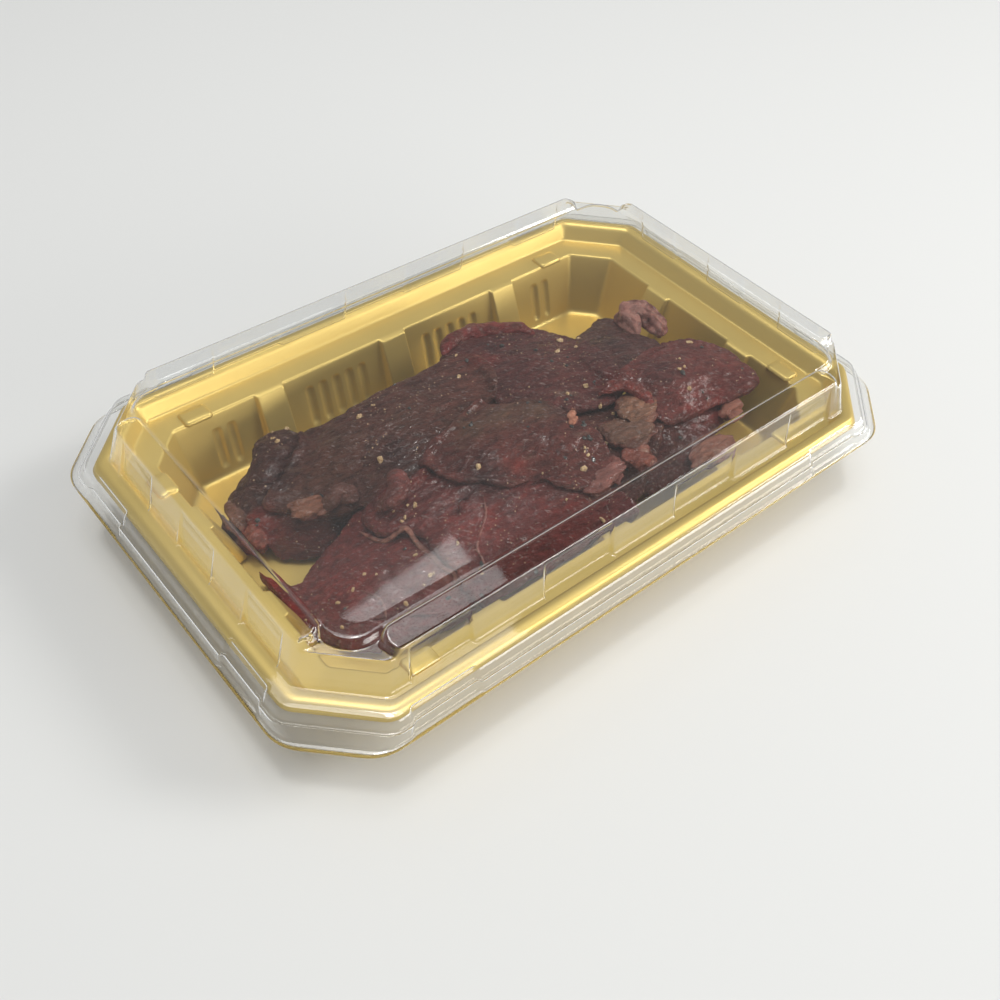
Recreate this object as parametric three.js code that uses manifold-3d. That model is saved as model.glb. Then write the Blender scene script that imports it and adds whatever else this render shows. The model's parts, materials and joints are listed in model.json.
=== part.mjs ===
// Thermoformed octagonal food tray with a press-on clear lid, filled with raw marinated meat slices.
// Millimetres. X runs along the long side, Y along the short side, Z up.
// The origin is the middle of the flat underside of the tray.
import * as THREE from 'three';
import { mergeVertices } from 'three/addons/utils/BufferGeometryUtils.js';
import Module from 'manifold-3d';

// ---------------------------------------------------------------- driving dimensions
const SHEET = 0.6;                 // thickness of the tray and lid sheet
const GAP = 0.32;                  // clearance kept between touching pieces
const FLOOR_X = 78.4;              // half length of the tray floor
const FLOOR_Y = 45.0;              // half width of the tray floor
const FLOOR_Z = 0.6;               // upper face of the tray floor
const FLOOR_CHAMFER = 7.0;         // cut corner of the floor octagon
const CHAMFER_GROWTH = 0.5;        // how much the cut corner grows per mm of outward offset
const WALL_LEAN = 0.29;            // outward lean of the tray wall per mm of height
const PILASTER_RISE = 1.2;         // how far the plain pilasters stand in from the wall panels
const CORNER_STEPS = 3;            // segments in each rounded plan corner
const SIDE_SPAN = 120;             // longer than any half side; spreads the keys of its stations
const FLUTE_HALF = 1.5;            // half width of a wall flute
const FLUTE_DEPTH = 0.9;           // depth of a wall flute
const FLUTE_TOP = 14.2;            // height where the flutes end in a round head
const FLUTE_PITCH = 4.7;           // spacing of the flutes in a panel
const LUG_RISE = 0.8;              // height of the small stacking pads on the tray ledge
const PANEL_INSET = 1.3;           // how far the sunk panels of the lid wall stand in
const SNAP_INSET = 0.9;            // how far the snap notches press into the lid skirt

const wasm = await Module();
wasm.setup();
const { Manifold, Mesh: ManifoldMesh } = wasm;

// ---------------------------------------------------------------- small helpers
const lerp = (a, b, t) => a + (b - a) * t;
const clamp = (v, lo, hi) => Math.min(hi, Math.max(lo, v));

function toManifold(positions, triangles) {
  const mesh = new ManifoldMesh({
    numProp: 3,
    vertProperties: new Float32Array(positions.flat()),
    triVerts: new Uint32Array(triangles.flat()),
  });
  return new Manifold(mesh);
}

function toGeometry(solid) {
  const mesh = solid.getMesh();
  const geometry = new THREE.BufferGeometry();
  geometry.setAttribute('position', new THREE.BufferAttribute(new Float32Array(mesh.vertProperties), 3));
  geometry.setIndex(new THREE.BufferAttribute(new Uint32Array(mesh.triVerts), 1));
  const merged = mergeVertices(geometry, 1e-5);
  merged.computeVertexNormals();
  return merged;
}

function largestBody(solid) {
  const bodies = solid.decompose();
  const size = (body) => Math.abs(body.volume());
  return bodies.reduce((best, body) => (size(body) > size(best) ? body : best));
}

// ---------------------------------------------------------------- octagonal plan loops
// A loop is a closed list of points with a key; keys let loops of different density be joined.
// sides: extra stations on a side, each { s, inset } with s along the side from its middle.
function planLoop({ x, y, z, chamfer, radius = 2, long = [], short = [] }) {
  const corners = [
    [x, -y + chamfer], [x, y - chamfer],
    [x - chamfer, y], [-x + chamfer, y],
    [-x, y - chamfer], [-x, -y + chamfer],
    [-x + chamfer, -y], [x - chamfer, -y],
  ];
  const cut = radius * Math.tan(Math.PI / 8);
  const loop = [];
  corners.forEach((corner, i) => {
    const before = corners[(i + 7) % 8];
    const after = corners[(i + 1) % 8];
    const a = toward(corner, before, cut);
    const b = toward(corner, after, cut);
    for (let k = 0; k <= CORNER_STEPS; k += 1) {
      const t = k / CORNER_STEPS;
      const p = [0, 1].map((n) => (1 - t) ** 2 * a[n] + 2 * t * (1 - t) * corner[n] + t * t * b[n]);
      loop.push({ p: [p[0], p[1], z], key: i + t * 0.2 });
    }
    if (i % 2 === 1) {
      return;
    }
    const isShort = i % 4 === 0;
    const stations = isShort ? short : long;
    const half = (isShort ? y : x) - chamfer - cut;
    stations.forEach((station, n) => {
      const last = stations.length;
      const room = half - 0.15 * (Math.min(n, last - 1 - n) + 1);
      const s = clamp(station.s, -room, room);
      const inset = station.inset || 0;
      const height = station.z === undefined ? z : station.z;
      const turned = [
        [x - inset, s], null, [-s, y - inset], null,
        [-x + inset, -s], null, [s, -y + inset],
      ][i];
      loop.push({ p: [turned[0], turned[1], height], key: i + 0.6 + 0.39 * (s / SIDE_SPAN) });
    });
  });
  return loop.sort((a, b) => a.key - b.key);
}

function toward(from, to, distance) {
  const length = Math.hypot(to[0] - from[0], to[1] - from[1]);
  const t = distance / length;
  return [lerp(from[0], to[0], t), lerp(from[1], to[1], t)];
}

// Skins a stack of loops into one closed solid; the first and last loops are capped flat.
function skin(loops) {
  const positions = [];
  const starts = loops.map((loop) => {
    const start = positions.length;
    loop.forEach((v) => positions.push(v.p));
    return start;
  });
  const triangles = [];
  for (let k = 0; k + 1 < loops.length; k += 1) {
    zip(loops[k], starts[k], loops[k + 1], starts[k + 1], triangles);
  }
  cap(loops[0], starts[0], positions, triangles, true);
  cap(loops.at(-1), starts.at(-1), positions, triangles, false);
  return closedOutward(positions, triangles);
}

function zip(lower, lowStart, upper, upStart, triangles) {
  let i = 0;
  let j = 0;
  const keyOf = (loop, n) => (n < loop.length ? loop[n].key : loop[n - loop.length].key + 8);
  while (i < lower.length || j < upper.length) {
    const a = lowStart + (i % lower.length);
    const b = upStart + (j % upper.length);
    const moveLower = j >= upper.length
      || (i < lower.length && keyOf(lower, i + 1) <= keyOf(upper, j + 1));
    if (moveLower) {
      triangles.push([a, lowStart + ((i + 1) % lower.length), b]);
      i += 1;
    } else {
      triangles.push([a, upStart + ((j + 1) % upper.length), b]);
      j += 1;
    }
  }
}

function cap(loop, start, positions, triangles, first) {
  const centre = positions.length;
  const z = loop.reduce((sum, v) => sum + v.p[2], 0) / loop.length;
  positions.push([0, 0, z]);
  loop.forEach((_, n) => {
    const a = start + n;
    const b = start + ((n + 1) % loop.length);
    triangles.push(first ? [b, a, centre] : [a, b, centre]);
  });
}

function closedOutward(positions, triangles) {
  let volume = 0;
  triangles.forEach(([a, b, c]) => {
    const [p, q, r] = [positions[a], positions[b], positions[c]];
    volume += p[0] * (q[1] * r[2] - q[2] * r[1]);
    volume += p[1] * (q[2] * r[0] - q[0] * r[2]);
    volume += p[2] * (q[0] * r[1] - q[1] * r[0]);
  });
  const facing = volume < 0 ? triangles.map(([a, b, c]) => [a, c, b]) : triangles;
  return toManifold(positions, facing);
}

// Offsets a profile of { x, y, z } levels by the sheet thickness to its lower or inner side.
function offsetProfile(levels, thickness) {
  return levels.map((level, n) => {
    const a = levels[Math.max(0, n - 1)];
    const b = levels[Math.min(levels.length - 1, n + 1)];
    const run = b.x - a.x;
    const rise = b.z - a.z;
    const length = Math.hypot(run, rise);
    const out = { ...level };
    out.x = level.x + (thickness * rise) / length;
    out.y = level.y + (thickness * rise) / length;
    out.z = level.z - (thickness * run) / length;
    return out;
  });
}

const chamferAt = (x) => FLOOR_CHAMFER + CHAMFER_GROWTH * Math.max(0, x - FLOOR_X);

// ---------------------------------------------------------------- tray
// Profile of the upper face, from the floor out over the ledge and the rolled rim.
const TRAY_PROFILE = [
  { x: 76.9, y: 43.5, z: FLOOR_Z, radius: 4.0, wall: 0 },
  { x: 78.3, y: 44.9, z: 1.0, radius: 3.6, wall: 0.7 },
  { x: 79.0, y: 45.6, z: 2.4, radius: 3.2, wall: 1 },
  { x: 83.7, y: 50.2, z: 18.8, radius: 2.4, wall: 1 },
  { x: 84.1, y: 50.6, z: 19.9, radius: 2.4, wall: 1 },
  { x: 84.9, y: 51.4, z: 20.3, radius: 2.4, wall: 1 },
  { x: 91.4, y: 57.9, z: 20.3, radius: 2.6 },
  { x: 92.2, y: 58.6, z: 20.8, radius: 2.8 },
  { x: 94.3, y: 60.1, z: 24.2, radius: 3.2 },
  { x: 95.2, y: 60.8, z: 25.05, radius: 3.6 },
  { x: 96.9, y: 62.2, z: 25.4, radius: 4.4 },
  { x: 98.7, y: 63.7, z: 24.8, radius: 5.4 },
  { x: 99.8, y: 64.6, z: 23.2, radius: 6.2 },
  { x: 100.4, y: 65.0, z: 21.6, radius: 6.8 },
];

// Plain pilasters: half width at the face and the middle position along each side.
const LONG_PILASTERS = [-43.7, 0, 43.7];
const SHORT_PILASTERS = [-17.7, 17.7];
const PILASTER_HALF = 4.2;
const PILASTER_FLARE = 0.7;

function pilasterStations(middles, strength) {
  return middles.flatMap((middle) => [
    { s: middle - PILASTER_HALF - PILASTER_FLARE, inset: 0 },
    { s: middle - PILASTER_HALF, inset: PILASTER_RISE * strength },
    { s: middle + PILASTER_HALF, inset: PILASTER_RISE * strength },
    { s: middle + PILASTER_HALF + PILASTER_FLARE, inset: 0 },
  ]);
}

function trayLoops(levels) {
  return levels.map((level) => planLoop({
    ...level,
    chamfer: chamferAt(level.x),
    long: level.wall === undefined ? [] : pilasterStations(LONG_PILASTERS, level.wall),
    short: level.wall === undefined ? [] : pilasterStations(SHORT_PILASTERS, level.wall),
  }));
}

// Half capsule that lies on the long wall; base is where its flat side stands, out from the wall face.
function fluteSolid(half, depth, base, bottom, top) {
  const wallY = (z) => 45.6 + 0.28 * (z - 2.4);
  const rings = [[bottom, 1], [top, 1], [top + half * 0.85, 0.5]];
  const arc = 4;
  const count = arc + 1;
  const positions = [];
  rings.forEach(([z, scale]) => {
    for (let k = 0; k <= arc; k += 1) {
      const angle = (Math.PI * k) / arc;
      const x = half * scale * Math.cos(angle);
      const y = wallY(z) + base + (depth - base) * scale * Math.sin(angle);
      positions.push([x, y, z]);
    }
  });
  const triangles = [];
  for (let ring = 0; ring + 1 < rings.length; ring += 1) {
    for (let k = 0; k < count; k += 1) {
      const a = ring * count + k;
      const b = ring * count + ((k + 1) % count);
      triangles.push([a, b, b + count], [a, b + count, a + count]);
    }
  }
  for (let k = 1; k + 1 < count; k += 1) {
    const end = (rings.length - 1) * count;
    triangles.push([0, k + 1, k], [end, end + k, end + k + 1]);
  }
  return closedOutward(positions, triangles);
}

const FLUTES = [
  ...[-2, -1, 0, 1, 2].map((n) => -21.6 + n * FLUTE_PITCH),
  ...[-2, -1, 0, 1, 2].map((n) => 21.6 + n * FLUTE_PITCH),
  -62.1, -57.4, 57.4, 62.1,
];

function addFlutes(tray) {
  const bump = fluteSolid(FLUTE_HALF + SHEET, FLUTE_DEPTH + SHEET, 0.3, 1.9, FLUTE_TOP + 0.25);
  const groove = fluteSolid(FLUTE_HALF, FLUTE_DEPTH, -0.3, 2.4, FLUTE_TOP);
  let result = tray;
  FLUTES.forEach((x) => {
    [1, -1].forEach((side) => {
      const place = (solid) => (side > 0 ? solid : solid.rotate([0, 0, 180])).translate([x, 0, 0]);
      result = result.add(place(bump)).subtract(place(groove));
    });
  });
  return result;
}

// Small stacking pads that bridge the inner edge of the ledge.
const LUGS = [
  { x: -66.2, y: 52.8, turn: 0 }, { x: 65.6, y: 52.8, turn: 0 },
  { x: -66.2, y: -52.8, turn: 0 }, { x: 65.6, y: -52.8, turn: 0 },
  { x: -86.4, y: 33.4, turn: 90 }, { x: 86.4, y: -33.4, turn: 90 },
];

function lugSolid() {
  const foot = [4.4, 3.0];
  const head = [3.7, 2.3];
  const ring = (size, z) => [
    [-size[0], -size[1], z], [size[0], -size[1], z], [size[0], size[1], z], [-size[0], size[1], z],
  ];
  const bottom = FLOOR_Z + 19.4;
  const positions = [...ring(foot, bottom), ...ring(head, 20.3 + LUG_RISE)];
  const triangles = [[0, 2, 1], [0, 3, 2], [4, 5, 6], [4, 6, 7]];
  for (let k = 0; k < 4; k += 1) {
    const next = (k + 1) % 4;
    triangles.push([k, next, next + 4], [k, next + 4, k + 4]);
  }
  return closedOutward(positions, triangles);
}

function makeTray() {
  const under = offsetProfile(TRAY_PROFILE, SHEET).reverse();
  let tray = skin([...trayLoops(TRAY_PROFILE), ...trayLoops(under)]);
  tray = addFlutes(tray);
  const lug = lugSolid();
  LUGS.forEach(({ x, y, turn }) => {
    tray = tray.add(lug.rotate([0, 0, turn]).translate([x, y, 0]));
  });
  return tray;
}

// ---------------------------------------------------------------- lid
// Top: a slightly sunk middle panel, four raised rails round it and a lower step at each cut corner.
const PANEL_Z = 38.1;
const RAIL_Z = 39.0;
const STEP_Z = 36.0;
const RAIL_END_LONG = 76.4;
const RAIL_END_SHORT = 42.4;
const WALL_JOINTS_LONG = [11.2, 33.5, 55.8];
const WALL_JOINTS_SHORT = [7.5, 22.5];
const BLOCK_LONG = 73.2;
const BLOCK_SHORT = 37.4;

// rail: heights along a side that switch from the rail in the middle to the corner step.
function railStations(end, low, high, inset) {
  const list = [
    { s: end, z: low },
    { s: end - 0.7, z: lerp(low, high, 0.75), inset: inset * 0.6 },
    { s: end - 2.2, z: high, inset: inset * 0.1 },
    { s: end - 3.6, z: high },
  ];
  return [...list.map((v) => ({ ...v, s: -v.s })), ...list.reverse()];
}

// Adds the panel joints of the wall below to the stations of the rail edge above it.
function withJoints(stations, joints, z) {
  const middle = stations.length / 2;
  const right = joints.map((s) => ({ s, z }));
  const left = joints.map((s) => ({ s: -s, z })).reverse();
  return [...stations.slice(0, middle), ...left, ...right, ...stations.slice(middle)];
}

// Sunk and flush panels take turns along the lid wall; the corner blocks are flush.
function wallStations(joints, block, depth) {
  const list = [];
  let sunk = joints.length % 2 === 0;
  joints.forEach((joint) => {
    list.push({ s: joint - 0.5, inset: sunk ? depth : 0 });
    list.push({ s: joint + 0.5, inset: sunk ? 0 : depth });
    sunk = !sunk;
  });
  list.push({ s: block - 0.8, inset: depth });
  list.push({ s: block + 0.3, inset: 0 });
  const mirrored = list.map((v) => ({ ...v, s: -v.s })).reverse();
  return [...mirrored, ...list];
}

function snapStations(from, to, depth) {
  const list = [
    { s: from - 1.2, inset: 0 }, { s: from, inset: depth },
    { s: to, inset: depth }, { s: to + 1.2, inset: 0 },
  ];
  const mirrored = list.map((v) => ({ ...v, s: -v.s })).reverse();
  return [...mirrored, ...list];
}

// Each level keeps the corner height in z; rail is the height its side stations take.
const LID_PROFILE = [
  { x: 84.8, y: 49.6, z: PANEL_Z, radius: 7, plain: true },
  { x: 85.9, y: 50.7, z: PANEL_Z - 0.5, radius: 7, rail: PANEL_Z + 0.75, drift: 0 },
  { x: 86.7, y: 51.5, z: STEP_Z + 0.2, radius: 6, rail: RAIL_Z, drift: 0.5 },
  { x: 91.7, y: 57.2, z: STEP_Z, radius: 3.6, rail: RAIL_Z, drift: 3.0 },
  { x: 92.6, y: 58.0, z: STEP_Z - 0.6, radius: 3.4, rail: RAIL_Z - 0.7, drift: 1.2, joints: true },
  { x: 94.9, y: 59.2, z: 27.2, radius: 3.4, wall: 1 },
  { x: 95.7, y: 60.0, z: 26.3, radius: 3.6, wall: 0.9 },
  { x: 98.6, y: 63.6, z: 26.3, radius: 5 },
  { x: 100.4, y: 65.2, z: 25.7, radius: 5.6, snap: 0.3 },
  { x: 101.5, y: 66.2, z: 23.9, radius: 6.2, snap: 1 },
  { x: 102.9, y: 67.3, z: 22.9, radius: 6.8, snap: 1 },
  { x: 103.4, y: 67.7, z: 21.9, radius: 7.4, snap: 0.5 },
  { x: 105.0, y: 68.9, z: 21.2, radius: 8.4 },
];

function lidLoops(levels) {
  return levels.map((level) => {
    const spec = { ...level, chamfer: chamferAt(level.x) };
    if (level.rail !== undefined) {
      spec.long = railStations(RAIL_END_LONG, level.z, level.rail, level.drift);
      spec.short = railStations(RAIL_END_SHORT, level.z, level.rail, level.drift);
    }
    if (level.joints) {
      spec.long = withJoints(spec.long, [...WALL_JOINTS_LONG, BLOCK_LONG], level.rail);
      spec.short = withJoints(spec.short, [...WALL_JOINTS_SHORT, BLOCK_SHORT], level.rail);
    }
    if (level.wall !== undefined) {
      spec.long = wallStations(WALL_JOINTS_LONG, BLOCK_LONG, PANEL_INSET * level.wall);
      spec.short = wallStations(WALL_JOINTS_SHORT, BLOCK_SHORT, PANEL_INSET * level.wall);
    }
    if (level.snap !== undefined) {
      spec.long = snapStations(60.2, 75.6, SNAP_INSET * level.snap);
      spec.short = snapStations(25.6, 40.4, SNAP_INSET * level.snap);
    }
    return planLoop(spec);
  });
}

function makeLid() {
  const under = offsetProfile(LID_PROFILE, SHEET).map((level, n) => {
    const source = LID_PROFILE[n];
    if (!source.plain && source.rail === undefined) {
      return level;
    }
    const inward = n >= 3 ? SHEET : -SHEET * 0.3;
    const rail = source.rail === undefined ? undefined : source.rail - SHEET;
    return { ...source, x: source.x - inward, y: source.y - inward, z: source.z - SHEET, rail };
  });
  return skin([...lidLoops(LID_PROFILE), ...lidLoops(under.reverse())]);
}

// ---------------------------------------------------------------- meat
// Every slice is described by its edge and a few crown points: [x, y, height of its upper face].
const SLICES = {
  slice_left_back: {
    edge: [
      [-49.7, 37.9, 17], [-55, 38.6, 15.5], [-60.3, 34.4, 14], [-66.7, 30.6, 11], [-70.5, 30.8, 8],
      [-74.1, 27.7, 6], [-76.4, 24.2, 4.5], [-75.6, 18.2, 4], [-73.5, 13.4, 4], [-69.9, 10.8, 6],
      [-62.7, 15.8, 9], [-52.5, 21.3, 12], [-43.9, 24.8, 16], [-44.8, 31.4, 18],
    ],
    crown: [[-61.3, 24.8, 14.5], [-68.6, 21.4, 10], [-52.3, 28.4, 18]],
    color: 0x4e3a36,
  },
  slice_left_under: {
    edge: [
      [-66.2, 19.2, 9.5], [-70.3, 19.6, 7], [-71.7, 18.2, 5.5], [-70.9, 12.4, 4.5], [-67.8, 6.9, 4],
      [-63.2, 3.1, 4], [-59.2, 0.8, 5], [-53.7, 2.1, 7], [-47.6, 3.2, 9], [-42.2, 4.1, 12],
      [-43.5, 9.8, 14], [-56.1, 15.6, 13],
    ],
    crown: [[-65.3, 9.1, 8.5], [-59.4, 5.9, 9.5], [-51.6, 5.3, 11]],
    color: 0x5a2f2c,
  },
  slice_front_left: {
    edge: [
      [-76.7, 3.1, 4], [-73.9, 1, 4.5], [-72.1, -3.5, 5], [-69.4, -4.7, 5.5], [-66.7, -3, 6],
      [-61.9, -1.6, 7.5], [-55.5, -0.3, 10], [-49.5, 1.2, 12], [-44.7, 0.8, 14], [-39.6, -8.3, 15],
      [-38.9, -24.9, 15.5], [-38.1, -36.6, 14], [-40.1, -41.4, 10], [-46.9, -39.7, 8.5],
      [-55.1, -38, 7], [-61.8, -36.3, 6], [-67.5, -33.4, 5], [-71.6, -28.3, 4.5],
      [-74.4, -22.1, 4], [-76.1, -14.5, 4], [-77.3, -5.7, 3.5],
    ],
    crown: [
      [-65.3, -12.6, 8.5], [-56, -17.4, 12.5], [-67.3, -24.5, 7.5], [-54.7, -28.8, 10.5],
      [-46.4, -26.2, 14],
    ],
    color: 0x6b3735,
  },
  slice_right_under: {
    edge: [
      [37, -21.5, 20], [49.8, -25.4, 20], [63.9, -29, 18], [63.1, -33.5, 16], [55.9, -34.9, 14.5],
      [53.4, -36.9, 12.5], [50.1, -40.4, 11], [45, -40.9, 9], [36.6, -40.8, 9], [26.4, -40.5, 10],
      [22.5, -37.7, 13], [26.8, -30.9, 17],
    ],
    crown: [[38.3, -33, 18], [33.2, -36.9, 14]],
    color: 0x4a302f,
  },
  slice_low_middle: {
    edge: [
      [17.9, -12.6, 22.5], [28.3, -13.3, 22.5], [41.4, -16.6, 22], [40.3, -27.2, 20.5],
      [26.8, -37.4, 17], [16.2, -41.5, 14], [8.5, -37.8, 14.5], [6.9, -30.8, 18], [11.1, -19.5, 21],
    ],
    crown: [[18.9, -25.3, 23], [20, -34.1, 19.5]],
    color: 0x4f3a38,
  },
  slice_back_right: {
    edge: [
      [46.2, 16.4, 20], [51.9, 18, 20], [58.7, 20.1, 19.5], [63.1, 17.7, 19.5], [64.4, 12.8, 20],
      [63.7, 3.6, 21], [63.7, -4.8, 22.5], [58.3, -12, 24], [43.5, -13.8, 25.5],
      [33.2, -7.5, 25.5], [35.2, 5.3, 23.5],
    ],
    crown: [[50.1, 3.5, 23.5]],
    color: 0x513c3a,
  },
  slice_back: {
    edge: [
      [3.5, 30, 23], [8.2, 33.6, 23], [14.2, 35.4, 22.5], [21.8, 35, 22], [28.6, 32.6, 22],
      [34.3, 28.7, 21.5], [39.2, 23.4, 21.5], [43.6, 15.8, 22], [43.8, 7.9, 23.5],
      [42.3, -3.1, 25], [35.4, -14.5, 25.5], [25.3, -15.9, 26], [14.7, -10.5, 26.5],
      [4.4, -0.8, 26], [3.8, 8.3, 25.5], [7.2, 20.9, 25],
    ],
    crown: [[21.5, 15, 25.5], [25.4, 1.6, 27], [15.1, 25.9, 24]],
    color: 0x573c3b,
  },
  slice_left_top: {
    edge: [
      [-44.3, 31.6, 18], [-37.7, 30.3, 20], [-30.1, 28.8, 22], [-21.5, 28.6, 23], [-13, 28.1, 24],
      [-4.6, 27.2, 25], [2.5, 26.8, 26], [9.3, 23.6, 26], [11.1, 17.8, 26], [7.1, 7.9, 26],
      [1.1, 4.2, 26], [-10.7, 0.6, 25.5], [-22.7, -3.5, 24], [-30.5, -7.2, 22], [-39.1, -7.6, 20],
      [-43.6, -3.8, 18], [-46.8, 0, 16], [-51.4, 2.9, 14.5], [-56, 5.8, 13], [-60.3, 10, 12.5],
      [-65.1, 15.5, 12], [-66, 18, 12], [-61.4, 21, 14.5], [-56, 23.2, 16.5], [-50, 26.4, 17.5],
    ],
    crown: [
      [-45.8, 15.5, 20.5], [-30.3, 13.7, 24.5], [-48.3, 7.4, 17], [-8.4, 15.1, 27],
      [-20.3, 8.8, 26.5], [-37.7, 3.5, 21.5], [-56.2, 15, 15.5],
    ],
    color: 0x5a413d,
  },
  slice_front_right: {
    edge: [
      [-48.1, -1.8, 16], [-49.1, -8.8, 16.5], [-47.6, -12.6, 17], [-42.7, -14.8, 18],
      [-41.3, -21.5, 18], [-41.2, -28.7, 17.5], [-40.3, -33.4, 16.5], [-41.3, -37.4, 13],
      [-38.9, -41.9, 10], [-26.7, -43.4, 11], [-13.9, -44.6, 12], [-1.1, -46.4, 13],
      [9.9, -46.6, 13.5], [14.9, -45.1, 15], [11.8, -39.5, 19], [3.3, -32.1, 22],
      [-10.6, -23.1, 23], [-21.2, -14.9, 23.5], [-27.9, -5.9, 22.5], [-36.9, -4.6, 20],
    ],
    crown: [
      [-36.2, -12.6, 20.5], [-32.7, -25.3, 19.5], [-22.3, -29.1, 20], [-28, -36.3, 16.5],
      [-8.5, -37.7, 18.5], [3.4, -40.8, 17.5],
    ],
    color: 0x663432,
  },
  slice_middle: {
    edge: [
      [-2.2, 5.6, 26], [2.1, 1.1, 27], [9.2, -3.7, 27.5], [14.3, -10.7, 28], [15.2, -18.1, 28],
      [17.2, -24.3, 27], [16.1, -30.8, 25], [11.3, -35.6, 22], [6.2, -36.5, 20], [0, -34, 20.5],
      [-4.5, -30.8, 21], [-7.1, -25.4, 22], [-13.2, -24.2, 22.5], [-19.8, -19.5, 23],
      [-25.6, -13.9, 23], [-28.4, -6.6, 23], [-30.2, -3.6, 23.5], [-24.3, -0.2, 25],
      [-17.3, 1.3, 26], [-9, 4.3, 26],
    ],
    crown: [
      [-12.9, -8.5, 28], [-2.7, -13.1, 29.5], [4, -22.2, 29], [-13.7, -18.1, 26.5],
      [0.1, -27, 25.5], [9.4, -29, 25.5],
    ],
    color: 0x5c3a37,
  },
  slice_right: {
    edge: [
      [26.1, -13.7, 28.5], [33.4, -11.9, 28.5], [48.3, -6.7, 26], [62.5, -5.2, 24.5],
      [71.7, -8.4, 23.5], [78, -15.6, 22.5], [78.7, -24.2, 22], [77.4, -32.4, 21.5],
      [68.8, -33.4, 21], [60.8, -31.9, 20.5], [52.5, -30.8, 20.5], [46.1, -30.4, 20.5],
      [39.2, -29.1, 20.5], [37, -25.5, 21], [39.7, -21.6, 22.5], [38.7, -17.2, 24.5],
      [34.1, -13.2, 26],
    ],
    crown: [[57.3, -20.7, 26.5], [43.3, -17.7, 27.5], [69.2, -24.5, 24], [48.6, -25.4, 24.5]],
    color: 0x643d3b,
  },
};

// Rolled edges and gristle: tubes along a path, [x, y, z] with one radius.
const ROLLS = {
  curl_red: {
    path: [[-46, -6.2, 19.5], [-40.5, -7.6, 22.6], [-37.2, -4.4, 24.0], [-37.6, -0.8, 24.0]],
    radius: 2.9,
    color: 0x8a3230,
  },
  fold_back: {
    path: [
      [4.2, 29.9, 23.5], [9, 33.7, 23], [15.1, 34.6, 23], [21.3, 33.5, 22.8], [27.2, 31, 22.5],
      [32.9, 27.1, 22], [33.9, 21.5, 22],
    ],
    radius: 2.8,
    color: 0x7a3532,
  },
  fold_right: {
    path: [[27, -13.6, 28], [32.7, -14, 28], [36.7, -17.8, 27.5], [37.9, -22.8, 25.5], [37.1, -26.9, 23.5]],
    radius: 2.3,
    color: 0x7d332f,
  },
  fold_left: {
    path: [[-54.9, 6.4, 14.5], [-51.4, 6.2, 16], [-48, 5.3, 17], [-47.1, 1, 16.5]],
    radius: 2.5,
    color: 0x5f423c,
  },
  gristle_back: {
    path: [
      [60.6, 3.7, 22.5], [58.5, 8.8, 22], [62.3, 15, 21.5], [69.4, 17.2, 21], [72.7, 13.6, 21],
      [71.5, 6.6, 21.5], [67, 0.9, 22],
    ],
    radius: 3.2,
    color: 0x9a6f68,
  },
};

// Lumps of fat and gristle: middle, half sizes and turn about Z in degrees.
const LUMPS = {
  fat_left: { at: [-57.5, 8.6, 15.5], half: [4.4, 3.2, 3.0], turn: -20, color: 0xa9744e },
  fat_red_left: { at: [-71.2, 14.6, 8.2], half: [4.6, 4.0, 3.4], turn: 60, color: 0xa1453b },
  gristle_left: { at: [-72.3, 22.6, 9.0], half: [3.8, 2.8, 2.8], turn: 70, color: 0x7c5750 },
  gristle_tan: { at: [33.1, -22.6, 26.0], half: [5.0, 4.2, 3.2], turn: 20, color: 0x9c7350 },
  gristle_low: { at: [25.3, -27.6, 25.0], half: [4.6, 3.6, 3.0], turn: -30, color: 0x8d6a4d },
  gristle_orange: { at: [22.6, -35.5, 23.0], half: [4.6, 3.6, 3.0], turn: -25, color: 0xa8583e },
  gristle_pink: { at: [10.6, -34.3, 22.5], half: [5.4, 4.4, 3.0], turn: 15, color: 0xa0716a },
  fat_right_tip: { at: [64.0, -33.6, 17.6], half: [4.8, 3.4, 3.2], turn: 35, color: 0xb27a66 },
  fat_front_right: { at: [50.4, -40.4, 14.0], half: [5.4, 3.4, 3.4], turn: 20, color: 0xa97363 },
  flake_pink: { at: [13.1, -17.2, 30.0], half: [2.8, 1.7, 1.3], turn: 55, color: 0xa8685c },
};

const SLICE_EDGE = 2.6;            // thickness near the edge of a slice
const SLICE_SWELL = 1.1;           // extra thickness per mm in from the edge
const SPOKES_LARGE = 15;           // points round a slice with a long outline
const SPOKES_SMALL = 12;           // points round a slice that mostly lies under others
const SIMPLIFY = 0.12;             // facets smaller than this are merged where pieces are cut clear
const SLICE_RINGS = [0.34, 0.66, 0.88];

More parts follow.
